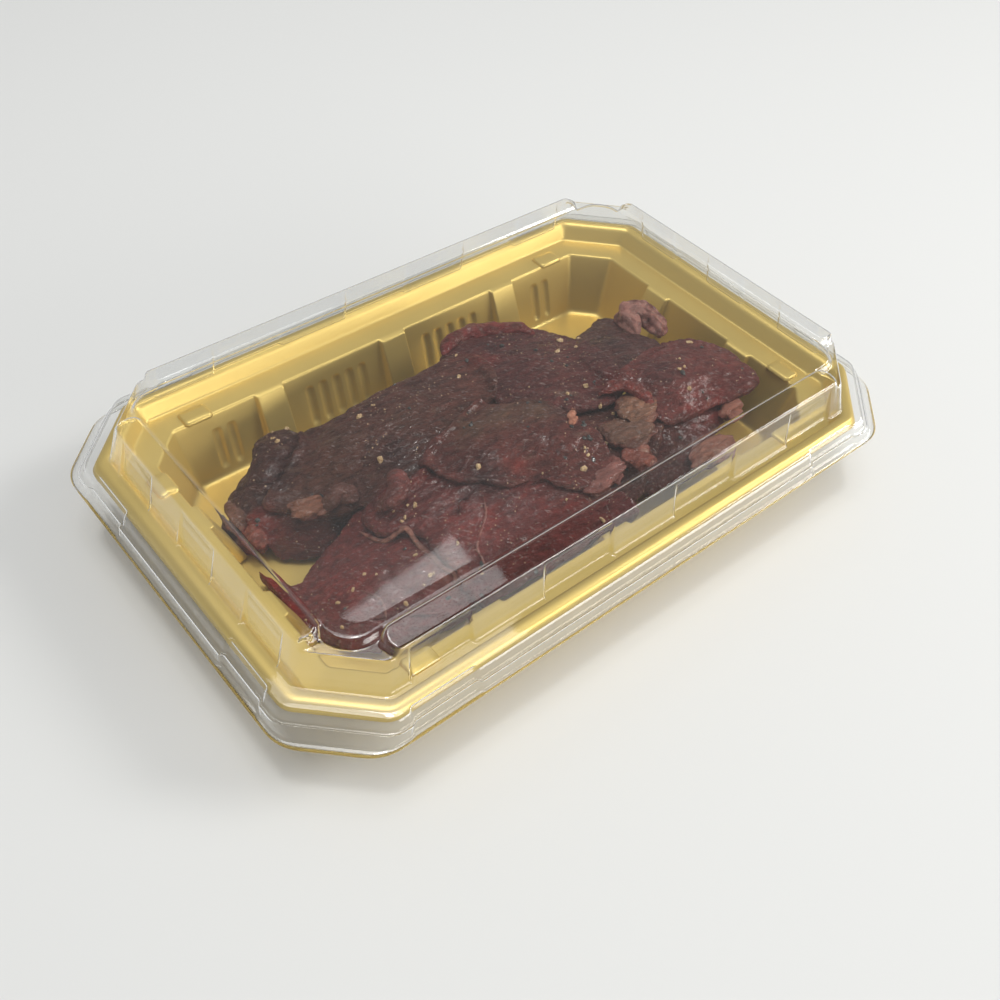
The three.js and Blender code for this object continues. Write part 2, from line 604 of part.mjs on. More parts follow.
// Smooth height field through scattered points (thin plate with a plane).
function thinPlate(points) {
  const n = points.length;
  const size = n + 3;
  const kernel = (a, b) => {
    const d2 = (a[0] - b[0]) ** 2 + (a[1] - b[1]) ** 2;
    return d2 < 1e-9 ? 0 : 0.5 * d2 * Math.log(d2);
  };
  const rows = [];
  for (let i = 0; i < size; i += 1) {
    rows.push(new Array(size + 1).fill(0));
  }
  points.forEach((p, i) => {
    points.forEach((q, j) => {
      rows[i][j] = kernel(p, q) + (i === j ? 6 : 0);
    });
    [1, p[0], p[1]].forEach((value, k) => {
      rows[i][n + k] = value;
      rows[n + k][i] = value;
    });
    rows[i][size] = p[2];
  });
  for (let col = 0; col < size; col += 1) {
    let best = col;
    for (let r = col + 1; r < size; r += 1) {
      if (Math.abs(rows[r][col]) > Math.abs(rows[best][col])) {
        best = r;
      }
    }
    [rows[col], rows[best]] = [rows[best], rows[col]];
    for (let r = 0; r < size; r += 1) {
      if (r !== col) {
        const factor = rows[r][col] / rows[col][col];
        for (let k = col; k <= size; k += 1) {
          rows[r][k] -= factor * rows[col][k];
        }
      }
    }
  }
  const weight = rows.map((row, i) => row[size] / row[i]);
  return (x, y) => {
    let sum = weight[n] + weight[n + 1] * x + weight[n + 2] * y;
    points.forEach((p, i) => {
      sum += weight[i] * kernel(p, [x, y]);
    });
    return sum;
  };
}

// Closed curve through the edge points, seen from a middle point that sees all of it.
function smoothEdge(points) {
  const curve = new THREE.CatmullRomCurve3(
    points.map(([x, y]) => new THREE.Vector3(x, y, 0)), true, 'centripetal');
  return curve.getPoints(points.length * 8).slice(0, -1).map((p) => [p.x, p.y]);
}

function turnsOneWay(edge, cx, cy) {
  let sign = 0;
  for (let i = 0; i < edge.length; i += 1) {
    const [ax, ay] = edge[i];
    const [bx, by] = edge[(i + 1) % edge.length];
    const cross = (ax - cx) * (by - cy) - (ay - cy) * (bx - cx);
    if (Math.abs(cross) > 1e-6) {
      if (sign !== 0 && Math.sign(cross) !== sign) {
        return false;
      }
      sign = Math.sign(cross);
    }
  }
  return true;
}

function edgeMiddle(edge) {
  const xs = edge.map((p) => p[0]);
  const ys = edge.map((p) => p[1]);
  const box = [Math.min(...xs), Math.max(...xs), Math.min(...ys), Math.max(...ys)];
  let best = null;
  for (let i = 1; i < 24; i += 1) {
    for (let j = 1; j < 24; j += 1) {
      const x = lerp(box[0], box[1], i / 24);
      const y = lerp(box[2], box[3], j / 24);
      const near = Math.min(...edge.map((p) => Math.hypot(p[0] - x, p[1] - y)));
      if ((best === null || near > best.near) && turnsOneWay(edge, x, y)) {
        best = { x, y, near };
      }
    }
  }
  return best;
}

function reach(edge, middle, angle) {
  const dx = Math.cos(angle);
  const dy = Math.sin(angle);
  let far = 0;
  for (let i = 0; i < edge.length; i += 1) {
    const [ax, ay] = edge[i];
    const [bx, by] = edge[(i + 1) % edge.length];
    const ex = bx - ax;
    const ey = by - ay;
    const det = dx * ey - dy * ex;
    if (Math.abs(det) > 1e-9) {
      const t = ((ax - middle.x) * ey - (ay - middle.y) * ex) / det;
      const u = ((ax - middle.x) * dy - (ay - middle.y) * dx) / det;
      if (t > 0 && u >= 0 && u <= 1) {
        far = Math.max(far, t);
      }
    }
  }
  return far;
}

// Height of the tray under a point, with the pilasters taken as solid wall.
function trayHeight(x, y) {
  const lift = (over) => Math.max(0, over) / WALL_LEAN;
  const sideX = lift(Math.abs(x) - FLOOR_X + 1.5);
  const sideY = lift(Math.abs(y) - FLOOR_Y + 1.5);
  const corner = lift((Math.abs(x) + Math.abs(y) - FLOOR_X - FLOOR_Y + FLOOR_CHAMFER + 1.5) * 0.7);
  return FLOOR_Z + Math.max(sideX, sideY, corner);
}

// Upper face height of a finished piece at a point, read from its triangles.
function facetHeight(positions, triangles) {
  const faces = triangles.map((face) => face.map((n) => positions[n]));
  return (x, y) => {
    let best = -Infinity;
    faces.forEach(([a, b, c]) => {
      const det = (b[1] - c[1]) * (a[0] - c[0]) + (c[0] - b[0]) * (a[1] - c[1]);
      if (Math.abs(det) < 1e-9) {
        return;
      }
      const u = ((b[1] - c[1]) * (x - c[0]) + (c[0] - b[0]) * (y - c[1])) / det;
      const v = ((c[1] - a[1]) * (x - c[0]) + (a[0] - c[0]) * (y - c[1])) / det;
      if (u >= -1e-6 && v >= -1e-6 && u + v <= 1 + 1e-6) {
        best = Math.max(best, u * a[2] + v * b[2] + (1 - u - v) * c[2]);
      }
    });
    return best;
  };
}

function makeSlice(slice, laid) {
  const below = [...laid];
  const spokes = slice.edge.length < 15 ? SPOKES_SMALL : SPOKES_LARGE;
  const edge = smoothEdge(slice.edge);
  const middle = edgeMiddle(edge);
  const top = thinPlate([...slice.edge, ...slice.crown]);
  const support = (x, y) => {
    let height = trayHeight(x, y);
    below.forEach((heightOf) => {
      height = Math.max(height, heightOf(x, y));
      for (let a = 0; a < 6; a += 1) {
        const px = x + 1.8 * Math.cos((a * Math.PI) / 3);
        const py = y + 1.8 * Math.sin((a * Math.PI) / 3);
        height = Math.max(height, heightOf(px, py));
      }
    });
    return height + GAP + 0.25;
  };
  const height = (x, y) => Math.max(top(x, y), support(x, y) + 1.2);
  const upper = [];
  const lower = [];
  const at = (t, angle) => {
    const r = reach(edge, middle, angle);
    const x = middle.x + r * t * Math.cos(angle);
    const y = middle.y + r * t * Math.sin(angle);
    const h = height(x, y);
    const thick = SLICE_EDGE + SLICE_SWELL * (1 - t) * r;
    return { x, y, h, low: clamp(h - thick, support(x, y), h - 1.0) };
  };
  const ringCount = SLICE_RINGS.length;
  const positions = [];
  const hub = at(0, 0);
  positions.push([hub.x, hub.y, hub.h]);
  SLICE_RINGS.forEach((t) => {
    for (let k = 0; k < spokes; k += 1) {
      const v = at(t, (2 * Math.PI * k) / spokes);
      upper.push([v.x, v.y, v.h]);
      lower.push([v.x, v.y, v.low]);
    }
  });
  const rim = [];
  for (let k = 0; k < spokes; k += 1) {
    const v = at(1, (2 * Math.PI * k) / spokes);
    rim.push([v.x, v.y, lerp(v.low, v.h, 0.5)]);
  }
  positions.push(...upper, ...rim, ...lower, [hub.x, hub.y, hub.low]);
  const rings = 2 * ringCount + 1;
  const triangles = [];
  const id = (ring, k) => 1 + ring * spokes + (k % spokes);
  const order = [
    ...SLICE_RINGS.map((_, n) => n),
    ringCount,
    ...SLICE_RINGS.map((_, n) => rings - 1 - n),
  ];
  for (let k = 0; k < spokes; k += 1) {
    triangles.push([0, id(order[0], k), id(order[0], k + 1)]);
    for (let n = 0; n + 1 < order.length; n += 1) {
      const [a, b] = [id(order[n], k), id(order[n], k + 1)];
      const [c, d] = [id(order[n + 1], k), id(order[n + 1], k + 1)];
      triangles.push([a, c, d], [a, d, b]);
    }
    triangles.push([id(order.at(-1), k + 1), id(order.at(-1), k), positions.length - 1]);
  }
  laid.push(facetHeight(positions, triangles));
  return closedOutward(positions, triangles);
}

function makeRoll({ path, radius }) {
  const curve = new THREE.CatmullRomCurve3(path.map((p) => new THREE.Vector3(...p)), false, 'centripetal');
  const steps = Math.max(5, Math.round(curve.getLength() / 4));
  const sides = 8;
  const positions = [];
  const rings = [];
  for (let i = 0; i <= steps; i += 1) {
    const t = i / steps;
    const swell = Math.sin(Math.PI * clamp(t, 0.06, 0.94)) ** 0.45;
    const p = curve.getPointAt(t);
    const along = curve.getTangentAt(t);
    const side = new THREE.Vector3(-along.y, along.x, 0).normalize();
    const up = new THREE.Vector3().crossVectors(along, side);
    const ring = [];
    for (let k = 0; k < sides; k += 1) {
      const a = (2 * Math.PI * k) / sides;
      const q = p.clone();
      q.addScaledVector(side, Math.cos(a) * radius * swell);
      q.addScaledVector(up, Math.sin(a) * radius * swell * 0.9);
      ring.push(positions.length);
      positions.push([q.x, q.y, q.z]);
    }
    rings.push(ring);
  }
  const triangles = [];
  for (let i = 0; i < steps; i += 1) {
    for (let k = 0; k < sides; k += 1) {
      const next = (k + 1) % sides;
      triangles.push([rings[i][k], rings[i][next], rings[i + 1][next]]);
      triangles.push([rings[i][k], rings[i + 1][next], rings[i + 1][k]]);
    }
  }
  [0, steps].forEach((end) => {
    const p = curve.getPointAt(end / steps);
    const along = curve.getTangentAt(end / steps).multiplyScalar(end === 0 ? -radius * 0.35 : radius * 0.35);
    positions.push([p.x + along.x, p.y + along.y, p.z + along.z]);
    for (let k = 0; k < sides; k += 1) {
      const next = (k + 1) % sides;
      const pair = [rings[end][k], rings[end][next]];
      triangles.push(end === 0 ? [pair[1], pair[0], positions.length - 1] : [...pair, positions.length - 1]);
    }
  });
  return closedOutward(positions, triangles);
}

function makeLump({ at, half, turn }, seed) {
  const ball = new THREE.IcosahedronGeometry(1, 1);
  ball.deleteAttribute('normal');
  ball.deleteAttribute('uv');
  const merged = mergeVertices(ball, 1e-4);
  const position = merged.getAttribute('position');
  const angle = (turn * Math.PI) / 180;
  const positions = [];
  for (let i = 0; i < position.count; i += 1) {
    const v = new THREE.Vector3().fromBufferAttribute(position, i).normalize();
    const ripple = 1 + 0.09 * Math.sin(3.1 * v.x + seed) + 0.08 * Math.cos(3.7 * v.y - 1.7 * seed);
    const x = v.x * half[0] * ripple;
    const y = v.y * half[1] * ripple;
    positions.push([
      at[0] + x * Math.cos(angle) - y * Math.sin(angle),
      at[1] + x * Math.sin(angle) + y * Math.cos(angle),
      at[2] + v.z * half[2] * ripple,
    ]);
  }
  const index = Array.from(merged.getIndex().array);
  const triangles = [];
  for (let i = 0; i < index.length; i += 3) {
    triangles.push(index.slice(i, i + 3));
  }
  return closedOutward(positions, triangles);
}

// The piece grown by the clearance on every side.
function grown(solid) {
  const shifts = [[GAP, 0, 0], [-GAP, 0, 0], [0, GAP, 0], [0, -GAP, 0], [0, 0, GAP], [0, 0, -GAP]];
  return Manifold.union([solid, ...shifts.map((shift) => solid.translate(shift))]);
}

function boxesMeet(a, b) {
  const [p, q] = [a.boundingBox(), b.boundingBox()];
  return [0, 1, 2].every((k) => p.min[k] < q.max[k] && q.min[k] < p.max[k]);
}

// Takes away what earlier pieces already fill, with the clearance on every side.
function clearOf(solid, earlier) {
  let result = solid;
  earlier.forEach((other) => {
    if (boxesMeet(result, other) && result.intersect(other).volume() > 1e-6) {
      result = largestBody(result.subtract(other).simplify(SIMPLIFY));
    }
  });
  return result;
}

// ---------------------------------------------------------------- assembly
const group = new THREE.Group();
group.name = 'filled_tray_with_lid';

function addPiece(name, solid, color, roughness, metalness, opacity = 1) {
  const material = new THREE.MeshStandardMaterial({ color, roughness, metalness });
  material.name = name;
  if (opacity < 1) {
    material.transparent = true;
    material.opacity = opacity;
  }
  const mesh = new THREE.Mesh(toGeometry(solid), material);
  mesh.name = name;
  group.add(mesh);
}

addPiece('tray', makeTray(), 0xb89a52, 0.35, 0.85);
addPiece('lid', makeLid(), 0xe8eef0, 0.08, 0.0, 0.3);

const laid = [];
const meat = [];
const keepPiece = (name, solid, color) => {
  const cleared = clearOf(solid, meat);
  meat.push(grown(cleared));
  addPiece(name, cleared, color, 0.45, 0.0);
};
Object.entries(SLICES).forEach(([name, slice]) => {
  keepPiece(name, makeSlice(slice, laid), slice.color);
});
Object.entries(ROLLS).forEach(([name, roll]) => {
  keepPiece(name, makeRoll(roll), roll.color);
});
Object.entries(LUMPS).forEach(([name, lump], n) => {
  keepPiece(name, makeLump(lump, n + 1), lump.color);
});

export default group;
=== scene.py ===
# %% [markdown]
# # A takeaway tray of seasoned meat under a clear lid
# The object is an octagonal gold tray, a press-on clear lid and a heap of raw, seasoned meat.
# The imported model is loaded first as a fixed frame. Every piece below is made in the same
# place and at the same size as its plain solid there, and then stands for that solid.

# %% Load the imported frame
import json
import math
from functools import partial

import bmesh
import bpy
import numpy as np
from mathutils import Matrix, Vector
from mathutils.bvhtree import BVHTree


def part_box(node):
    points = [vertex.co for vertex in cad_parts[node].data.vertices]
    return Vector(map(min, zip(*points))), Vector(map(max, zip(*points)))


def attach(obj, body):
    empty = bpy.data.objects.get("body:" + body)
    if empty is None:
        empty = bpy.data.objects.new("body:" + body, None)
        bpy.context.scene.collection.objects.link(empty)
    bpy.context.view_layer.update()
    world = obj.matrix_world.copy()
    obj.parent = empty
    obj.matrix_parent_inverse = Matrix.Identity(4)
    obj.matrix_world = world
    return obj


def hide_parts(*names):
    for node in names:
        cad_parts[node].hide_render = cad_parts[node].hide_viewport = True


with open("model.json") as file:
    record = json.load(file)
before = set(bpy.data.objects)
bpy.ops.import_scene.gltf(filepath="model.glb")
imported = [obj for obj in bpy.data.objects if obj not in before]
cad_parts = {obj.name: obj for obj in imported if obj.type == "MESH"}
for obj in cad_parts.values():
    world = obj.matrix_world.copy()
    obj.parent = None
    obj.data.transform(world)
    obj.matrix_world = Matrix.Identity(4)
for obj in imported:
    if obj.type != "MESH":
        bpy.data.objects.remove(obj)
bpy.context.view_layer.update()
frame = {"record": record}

MM = 0.001
TRAY_LOW, TRAY_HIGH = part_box("tray")
LID_LOW, LID_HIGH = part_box("lid")
print("tray box", [round(v / MM, 1) for v in (*TRAY_LOW, *TRAY_HIGH)])
print("lid box", [round(v / MM, 1) for v in (*LID_LOW, *LID_HIGH)])

# %% [markdown]
# ## Nodes
# Materials, the sky and Geometry Nodes are all trees of nodes. Making a node by hand takes a line
# for every socket, so one helper makes the node, fills its sockets and links what comes from
# other nodes. A plain number or colour is set on the socket itself.

# %% Make the node helpers
def plug(tree, socket, value):
    """Links another node's output to a socket, or sets the socket to a plain value."""
    if isinstance(value, bpy.types.NodeSocket):
        tree.links.new(value, socket)
    else:
        socket.default_value = value


def add_node(tree, kind, sockets=None, **settings):
    """A new node; sockets are named or numbered inputs, settings are the node's own choices."""
    node = tree.nodes.new(kind)
    for setting, value in settings.items():
        setattr(node, setting, value)
    for socket, value in (sockets or {}).items():
        plug(tree, node.inputs[socket], value)
    return node


def math_node(tree, operation, *values):
    return add_node(tree, "ShaderNodeMath", dict(enumerate(values)), operation=operation).outputs[0]


print("node helpers ready")

# %% [markdown]
# ## Camera
# The picture was taken from above one corner. Elevation and azimuth turn the camera round
# the tray, and a small roll tilts the horizon. The camera matrix is the product of three turns,
# so that each angle can be read and changed alone.

# %% Place the camera
CAMERA_PLACE = (-0.16131, -0.17764, 0.24056)
CAMERA_AZIMUTH = math.radians(-42.89)
CAMERA_ELEVATION = math.radians(46.32)
CAMERA_ROLL = math.radians(4.60)
CAMERA_LENS = 40.98

camera_data = bpy.data.cameras.new("camera")
camera_data.lens = CAMERA_LENS
camera_data.sensor_width = 36.0
camera_data.clip_start = 0.01
camera_data.shift_x = 0.0013
camera = bpy.data.objects.new("camera", camera_data)
bpy.context.scene.collection.objects.link(camera)
camera.matrix_world = (
    Matrix.Translation(CAMERA_PLACE)
    @ Matrix.Rotation(CAMERA_AZIMUTH, 4, "Z")
    @ Matrix.Rotation(math.pi / 2 - CAMERA_ELEVATION, 4, "X")
    @ Matrix.Rotation(CAMERA_ROLL, 4, "Z")
)
bpy.context.scene.camera = camera
print("camera at", [round(v, 3) for v in camera.matrix_world.translation])

# %% [markdown]
# ## Light
# A small window light on the right gives the wet meat its fine glints. A long low light fills
# the walls from the front, a wide one hangs overhead, and a very small one above adds sparks.
# The sky behind them is a gentle gradient, because the lid and the gold mirror whatever is round
# them: an empty black world would leave both dark.

# %% Set up the lights and the sky
def aim_light(name, place, size, power, colour):
    light_data = bpy.data.lights.new(name, "AREA")
    light_data.shape = "RECTANGLE"
    light_data.size = size[0]
    light_data.size_y = size[1]
    light_data.energy = power
    light_data.color = colour
    light = bpy.data.objects.new(name, light_data)
    bpy.context.scene.collection.objects.link(light)
    toward = -np.array(place) / np.linalg.norm(place)
    side = np.cross(toward, (0.0, 0.0, 1.0))
    side = side / np.linalg.norm(side)
    up = np.cross(side, toward)
    turn = Matrix(np.stack([side, up, -toward], axis=1).tolist()).to_4x4()
    light.matrix_world = Matrix.Translation(place) @ turn


LIGHTS = {
    # name: place, width and height, power, colour
    "window_light": ((1.00, -0.55, 0.85), (0.42, 0.42), 8.5, (1.0, 0.985, 0.96)),
    "room_light": ((0.55, -1.15, 0.20), (1.5, 0.40), 12.0, (1.0, 0.97, 0.92)),
    "overhead_light": ((0.0, 0.05, 1.5), (0.8, 0.9), 9.0, (1.0, 1.0, 1.0)),
    "glint_light": ((0.03, 0.08, 0.95), (0.10, 0.10), 1.6, (1.0, 0.98, 0.95)),
}
for name, (place, size, power, colour) in LIGHTS.items():
    aim_light(name, place, size, power, colour)

world = bpy.data.worlds.new("studio")
world.use_nodes = True
bpy.context.scene.world = world
sky = world.node_tree
sky_place = add_node(sky, "ShaderNodeTexCoord")
sky_split = add_node(sky, "ShaderNodeSeparateXYZ", {0: sky_place.outputs["Generated"]})
sky_ramp = add_node(sky, "ShaderNodeValToRGB", {0: sky_split.outputs["Z"]})
plug(sky, sky.nodes["Background"].inputs["Color"], sky_ramp.outputs[0])
plug(sky, sky.nodes["Background"].inputs["Strength"], 0.90)
# height from the horizon to straight up, and how bright the sky is there
SKY = [
    (0.0, 0.62), (0.38, 0.50), (0.62, 0.28), (0.70, 0.42), (0.765, 0.85), (0.83, 0.30), (0.90, 0.20),
]
stops = sky_ramp.color_ramp.elements
for step, (height, value) in enumerate(SKY):
    stop = stops[step] if step < 2 else stops.new(height)
    stop.position = height
    stop.color = (value, value, value, 1)
bpy.context.scene.view_settings.view_transform = "Standard"
print("lights ready")

# %% [markdown]
# ## Floor
# A plain matt, nearly white sheet lies under the tray. It is stage, not a part of the object.

# %% Make the floor
def simple_material(name):
    material = bpy.data.materials.new(name)
    material.use_nodes = True
    return material, material.node_tree, material.node_tree.nodes["Principled BSDF"]


def plain_floor(half):
    mesh = bpy.data.meshes.new("floor")
    corners = [(-half, -half, 0), (half, -half, 0), (half, half, 0), (-half, half, 0)]
    mesh.from_pydata(corners, [], [(0, 1, 2, 3)])
    material, _, shade = simple_material("floor_paper")
    shade.inputs["Base Color"].default_value = (0.665, 0.675, 0.67, 1)
    shade.inputs["Roughness"].default_value = 0.75
    mesh.materials.append(material)
    floor = bpy.data.objects.new("floor", mesh)
    bpy.context.scene.collection.objects.link(floor)


plain_floor(4.0)
print("floor ready")

# %% [markdown]
# ## Octagonal rings
# Tray and lid are both pressed from flat sheet over an octagonal mould. Each is made here as a
# stack of rings: every ring has the same number of points, so that neighbouring rings join into
# clean four-sided faces. Marks are the places along a side where a ring needs points, close
# together at a joint or a flute and far apart on plain sheet.

# %% Build one octagonal ring
FLOOR_HALF_X = 78.4
FLOOR_CHAMFER = 7.0
CHAMFER_GROWTH = 0.5
ARC_STEPS = 8
BEVEL_STEPS = 5


def marks(limit, spacing, fine):
    """Places from -limit to limit: one every spacing, and more in each (from, to, step) of fine."""
    half = list(np.arange(0, limit, spacing)) + [limit]
    for start, stop, step in fine:
        half = [s for s in half if not start - 0.3 * step < s < stop + 0.3 * step]
        half += list(np.arange(start, stop + 0.5 * step, step))
    half = sorted(s for s in set(np.round(half, 3)) if s <= limit)
    return np.array([-s for s in reversed(half) if s > 0] + half)


def fit_marks(places, fixed, half):
    """Keeps marks up to fixed where they are and stretches the rest to end at half."""
    limit = places.max()
    far = np.abs(places) > fixed
    stretched = fixed + (np.abs(places) - fixed) / (limit - fixed) * (half - 0.02 - fixed)
    return np.where(far, np.sign(places) * stretched, places)


def octagon_ring(half_x, half_y, height, radius, long_marks, short_marks, fixed, chamfer=None):
    """Points, distance along the side, side number and outward direction of one ring."""
    if chamfer is None:
        chamfer = FLOOR_CHAMFER + CHAMFER_GROWTH * max(0.0, half_x - FLOOR_HALF_X)
    corners = np.array([
        (half_x, -half_y + chamfer), (half_x, half_y - chamfer),
        (half_x - chamfer, half_y), (-half_x + chamfer, half_y),
        (-half_x, half_y - chamfer), (-half_x, -half_y + chamfer),
        (-half_x + chamfer, -half_y), (half_x - chamfer, -half_y),
    ])
    outward = [np.array((math.cos(a), math.sin(a))) for a in np.arange(8) * math.pi / 4]
    cut = radius * math.tan(math.pi / 8)
    points, along, side, facing = [], [], [], []
    for i in range(8):
        before = corners[(i + 7) % 8] - corners[i]
        after = corners[(i + 1) % 8] - corners[i]
        start = corners[i] + before / np.linalg.norm(before) * cut
        stop = corners[i] + after / np.linalg.norm(after) * cut
        for k in range(ARC_STEPS + 1):
            t = k / ARC_STEPS
            points.append((1 - t) ** 2 * start + 2 * t * (1 - t) * corners[i] + t * t * stop)
            along.append(0.0)
            side.append(-1)
            facing.append(outward[(i + 7) % 8] * (1 - t) + outward[i] * t)
        room = np.linalg.norm(after) / 2 - cut
        middle = (corners[i] + corners[(i + 1) % 8]) / 2
        direction = after / np.linalg.norm(after)
        if i % 2 == 0:
            places = long_marks if i % 4 == 2 else short_marks
            steps = fit_marks(places, fixed[0] if i % 4 == 2 else fixed[1], room)
        else:
            places = np.linspace(-1, 1, BEVEL_STEPS + 2)[1:-1]
            steps = places * room
        for place, step in zip(places, steps):
            points.append(middle + direction * step)
            along.append(place if i % 2 == 0 else 0.0)
            side.append(i // 2 if i % 2 == 0 else -1)
            facing.append(outward[i])
    count = len(points)
    place = np.column_stack([np.array(points), np.full(count, height)])
    facing = np.array(facing)
    facing /= np.linalg.norm(facing, axis=1)[:, None]
    return place, np.array(along), np.array(side), np.column_stack([facing, np.zeros(count)])


def round_bends(path, steps=4):
    """Rounds each corner of a path whose last column is the length of sheet the bend takes."""
    path = np.array(path, float)
    line = [path[0, :-1]]
    for a, b, c in zip(path[:-2], path[1:-1], path[2:]):
        before, after = a[:-1] - b[:-1], c[:-1] - b[:-1]
        reach = b[-1]
        if reach == 0:
            line.append(b[:-1])
            continue
        start = b[:-1] + before * min(0.48, reach / np.linalg.norm(before[:3]))
        stop = b[:-1] + after * min(0.48, reach / np.linalg.norm(after[:3]))
        for t in np.linspace(0, 1, steps + 1):
            line.append((1 - t) ** 2 * start + 2 * t * (1 - t) * b[:-1] + t * t * stop)
    line.append(path[-1, :-1])
    return np.array(line)


plain_ring = octagon_ring(80, 45, 0, 4, marks(78, 5, []), marks(42, 5, []), (66, 30))
print("a plain ring has", len(plain_ring[0]), "points")

# %% [markdown]
# ## From rings to a sheet
# The rings become one skin, closed in the middle by one flat face. Solidify then gives it the
# thickness of real sheet. Attributes stay on the mesh, so that Geometry Nodes can find the walls.

# %% Join rings into a piece
def link_piece(name, mesh):
    piece = bpy.data.objects.new(name, mesh)
    bpy.context.scene.collection.objects.link(piece)
    return piece


def make_mesh(name, points, faces, smooth=True):
    """A mesh from points in millimetres."""
    mesh = bpy.data.meshes.new(name)
    mesh.from_pydata((np.asarray(points) * MM).tolist(), [], [tuple(map(int, f)) for f in faces])
    mesh.validate()
    if smooth:
        mesh.polygons.foreach_set("use_smooth", np.ones(len(mesh.polygons), bool))
    return mesh


def ring_faces(rings, count):
    """Four-sided faces between rings of count points."""
    ring, k = np.meshgrid(np.arange(rings - 1), np.arange(count), indexing="ij")
    a = ring * count + k
    b = ring * count + (k + 1) % count
    return np.stack([a, b, b + count, a + count], axis=-1).reshape(-1, 4).tolist()


def store(mesh, name, values, kind="FLOAT"):
    attribute = mesh.attributes.new(name, kind, "POINT")
    field = {"FLOAT": "value", "FLOAT_VECTOR": "vector", "FLOAT_COLOR": "color"}[kind]
    attribute.data.foreach_set(field, np.asarray(values, np.float32).ravel())


def fix_normals(piece, wanted=None):
    """Turns faces outwards; wanted is a direction that the first face must have."""
    work = bmesh.new()
    work.from_mesh(piece.data)
    bmesh.ops.remove_doubles(work, verts=work.verts, dist=1e-7)
    bmesh.ops.recalc_face_normals(work, faces=work.faces)
    work.faces.ensure_lookup_table()
    if wanted is not None and work.faces[0].normal.dot(Vector(wanted)) < 0:
        bmesh.ops.reverse_faces(work, faces=work.faces)
    work.to_mesh(piece.data)
    work.free()


def finish_modifiers(piece):
    """Applies every modifier and leaves a plain mesh."""
    bpy.context.view_layer.update()
    evaluated = piece.evaluated_get(bpy.context.evaluated_depsgraph_get())
    result = bpy.data.meshes.new_from_object(evaluated)
    old = piece.data
    piece.modifiers.clear()
    piece.data = result
    bpy.data.meshes.remove(old)
    piece.data.name = piece.name
    return piece


def thicken(piece, thickness, side):
    solidify = piece.modifiers.new("sheet", "SOLIDIFY")
    solidify.thickness = thickness * MM
    solidify.offset = side
    solidify.use_even_offset = False
    return finish_modifiers(piece)


print("helpers ready")

# %% [markdown]
# ## Tray
# The real tray is pressed from thin gold sheet. Its wall leans out, carries plain pilasters that
# stand a little inward, turns over a narrow ledge and ends in a rounded rim. The profile is a
# short list of bends; smooth steps push the pilasters in.

# %% Shape the tray
TRAY_SHEET = 0.57
# half length, half width, height, corner radius, rounding of the bend
TRAY_BENDS = [
    (76.0, 42.6, 0.60, 4.2, 0.0),
    (78.7, 45.3, 0.60, 3.8, 2.0),
    (84.1, 50.6, 20.30, 2.4, 0.9),
    (91.8, 58.3, 20.30, 2.7, 0.9),
    (94.6, 60.2, 25.30, 3.2, 2.0),
    (98.5, 63.2, 25.50, 5.2, 2.6),
    (99.9, 64.2, 23.00, 6.4, 0.0),
]
FLOOR_SCALES = (0.03, 0.4, 0.75)
PILASTER_RISE = 1.2
PILASTER_FOOT = 3.4
PILASTER_HALF = 4.2
PILASTER_FLARE = 0.7
LONG_PILASTERS = (0.0, 43.7)
SHORT_PILASTERS = (17.7,)
WALL_TOP = 20.3
FLUTE_HALF = 1.5
FLUTE_DEPTH = 0.9
FLUTE_HEAD = 14.2
FLUTE_FOOT = 4.3
FLUTE_PITCH = 4.7
FLUTE_GROUP = 21.6
FLUTE_PAIR = 59.75


def step_between(value, low, high):
    t = np.clip((value - low) / (high - low), 0, 1)
    return t * t * (3 - 2 * t)


def flute_marks():
    """Nine points across every flute of half a long side."""
    across = np.array([-1.8, -1.45, -1.05, -0.55, 0, 0.55, 1.05, 1.45, 1.8]) * FLUTE_HALF / 1.5
    middles = [FLUTE_GROUP + n * FLUTE_PITCH for n in range(-2, 3)]
    middles += [FLUTE_PAIR - FLUTE_PITCH / 2, FLUTE_PAIR + FLUTE_PITCH / 2]
    return sorted(m + a for m in middles for a in across)


def tray_marks():
    right = [middle + PILASTER_HALF for middle in LONG_PILASTERS]
    left = LONG_PILASTERS[1] - PILASTER_HALF
    fine = [(edge - 0.3, edge + 1.0, 0.32) for edge in right]
    long_marks = marks(78.0, 5.0, [*fine, (left - 1.0, left + 0.3, 0.32)])
    extra = np.array(flute_marks())
    plain = [s for s in long_marks if np.abs(np.abs(s) - extra).min() > 0.5]
    long_marks = np.array(sorted([*plain, *extra, *-extra]))
    left, right = SHORT_PILASTERS[0] - PILASTER_HALF, SHORT_PILASTERS[0] + PILASTER_HALF
    short_fine = [(left - 1.0, left + 0.3, 0.32), (right - 0.3, right + 1.0, 0.32)]
    return long_marks, marks(43.0, 5.0, short_fine)


def pilaster_push(along, side):
    """1 on a pilaster, 0 on a panel, with a narrow slope between."""
    push = np.zeros(len(along))
    for middles, sides in ((LONG_PILASTERS, (1, 3)), (SHORT_PILASTERS, (0, 2))):
        on_side = np.isin(side, sides)
        for middle in middles:
            away = np.abs(np.abs(along) - middle)
            slope = 1 - step_between(away, PILASTER_HALF, PILASTER_HALF + PILASTER_FLARE)
            push = np.maximum(push, np.where(on_side, slope, 0))
    return push


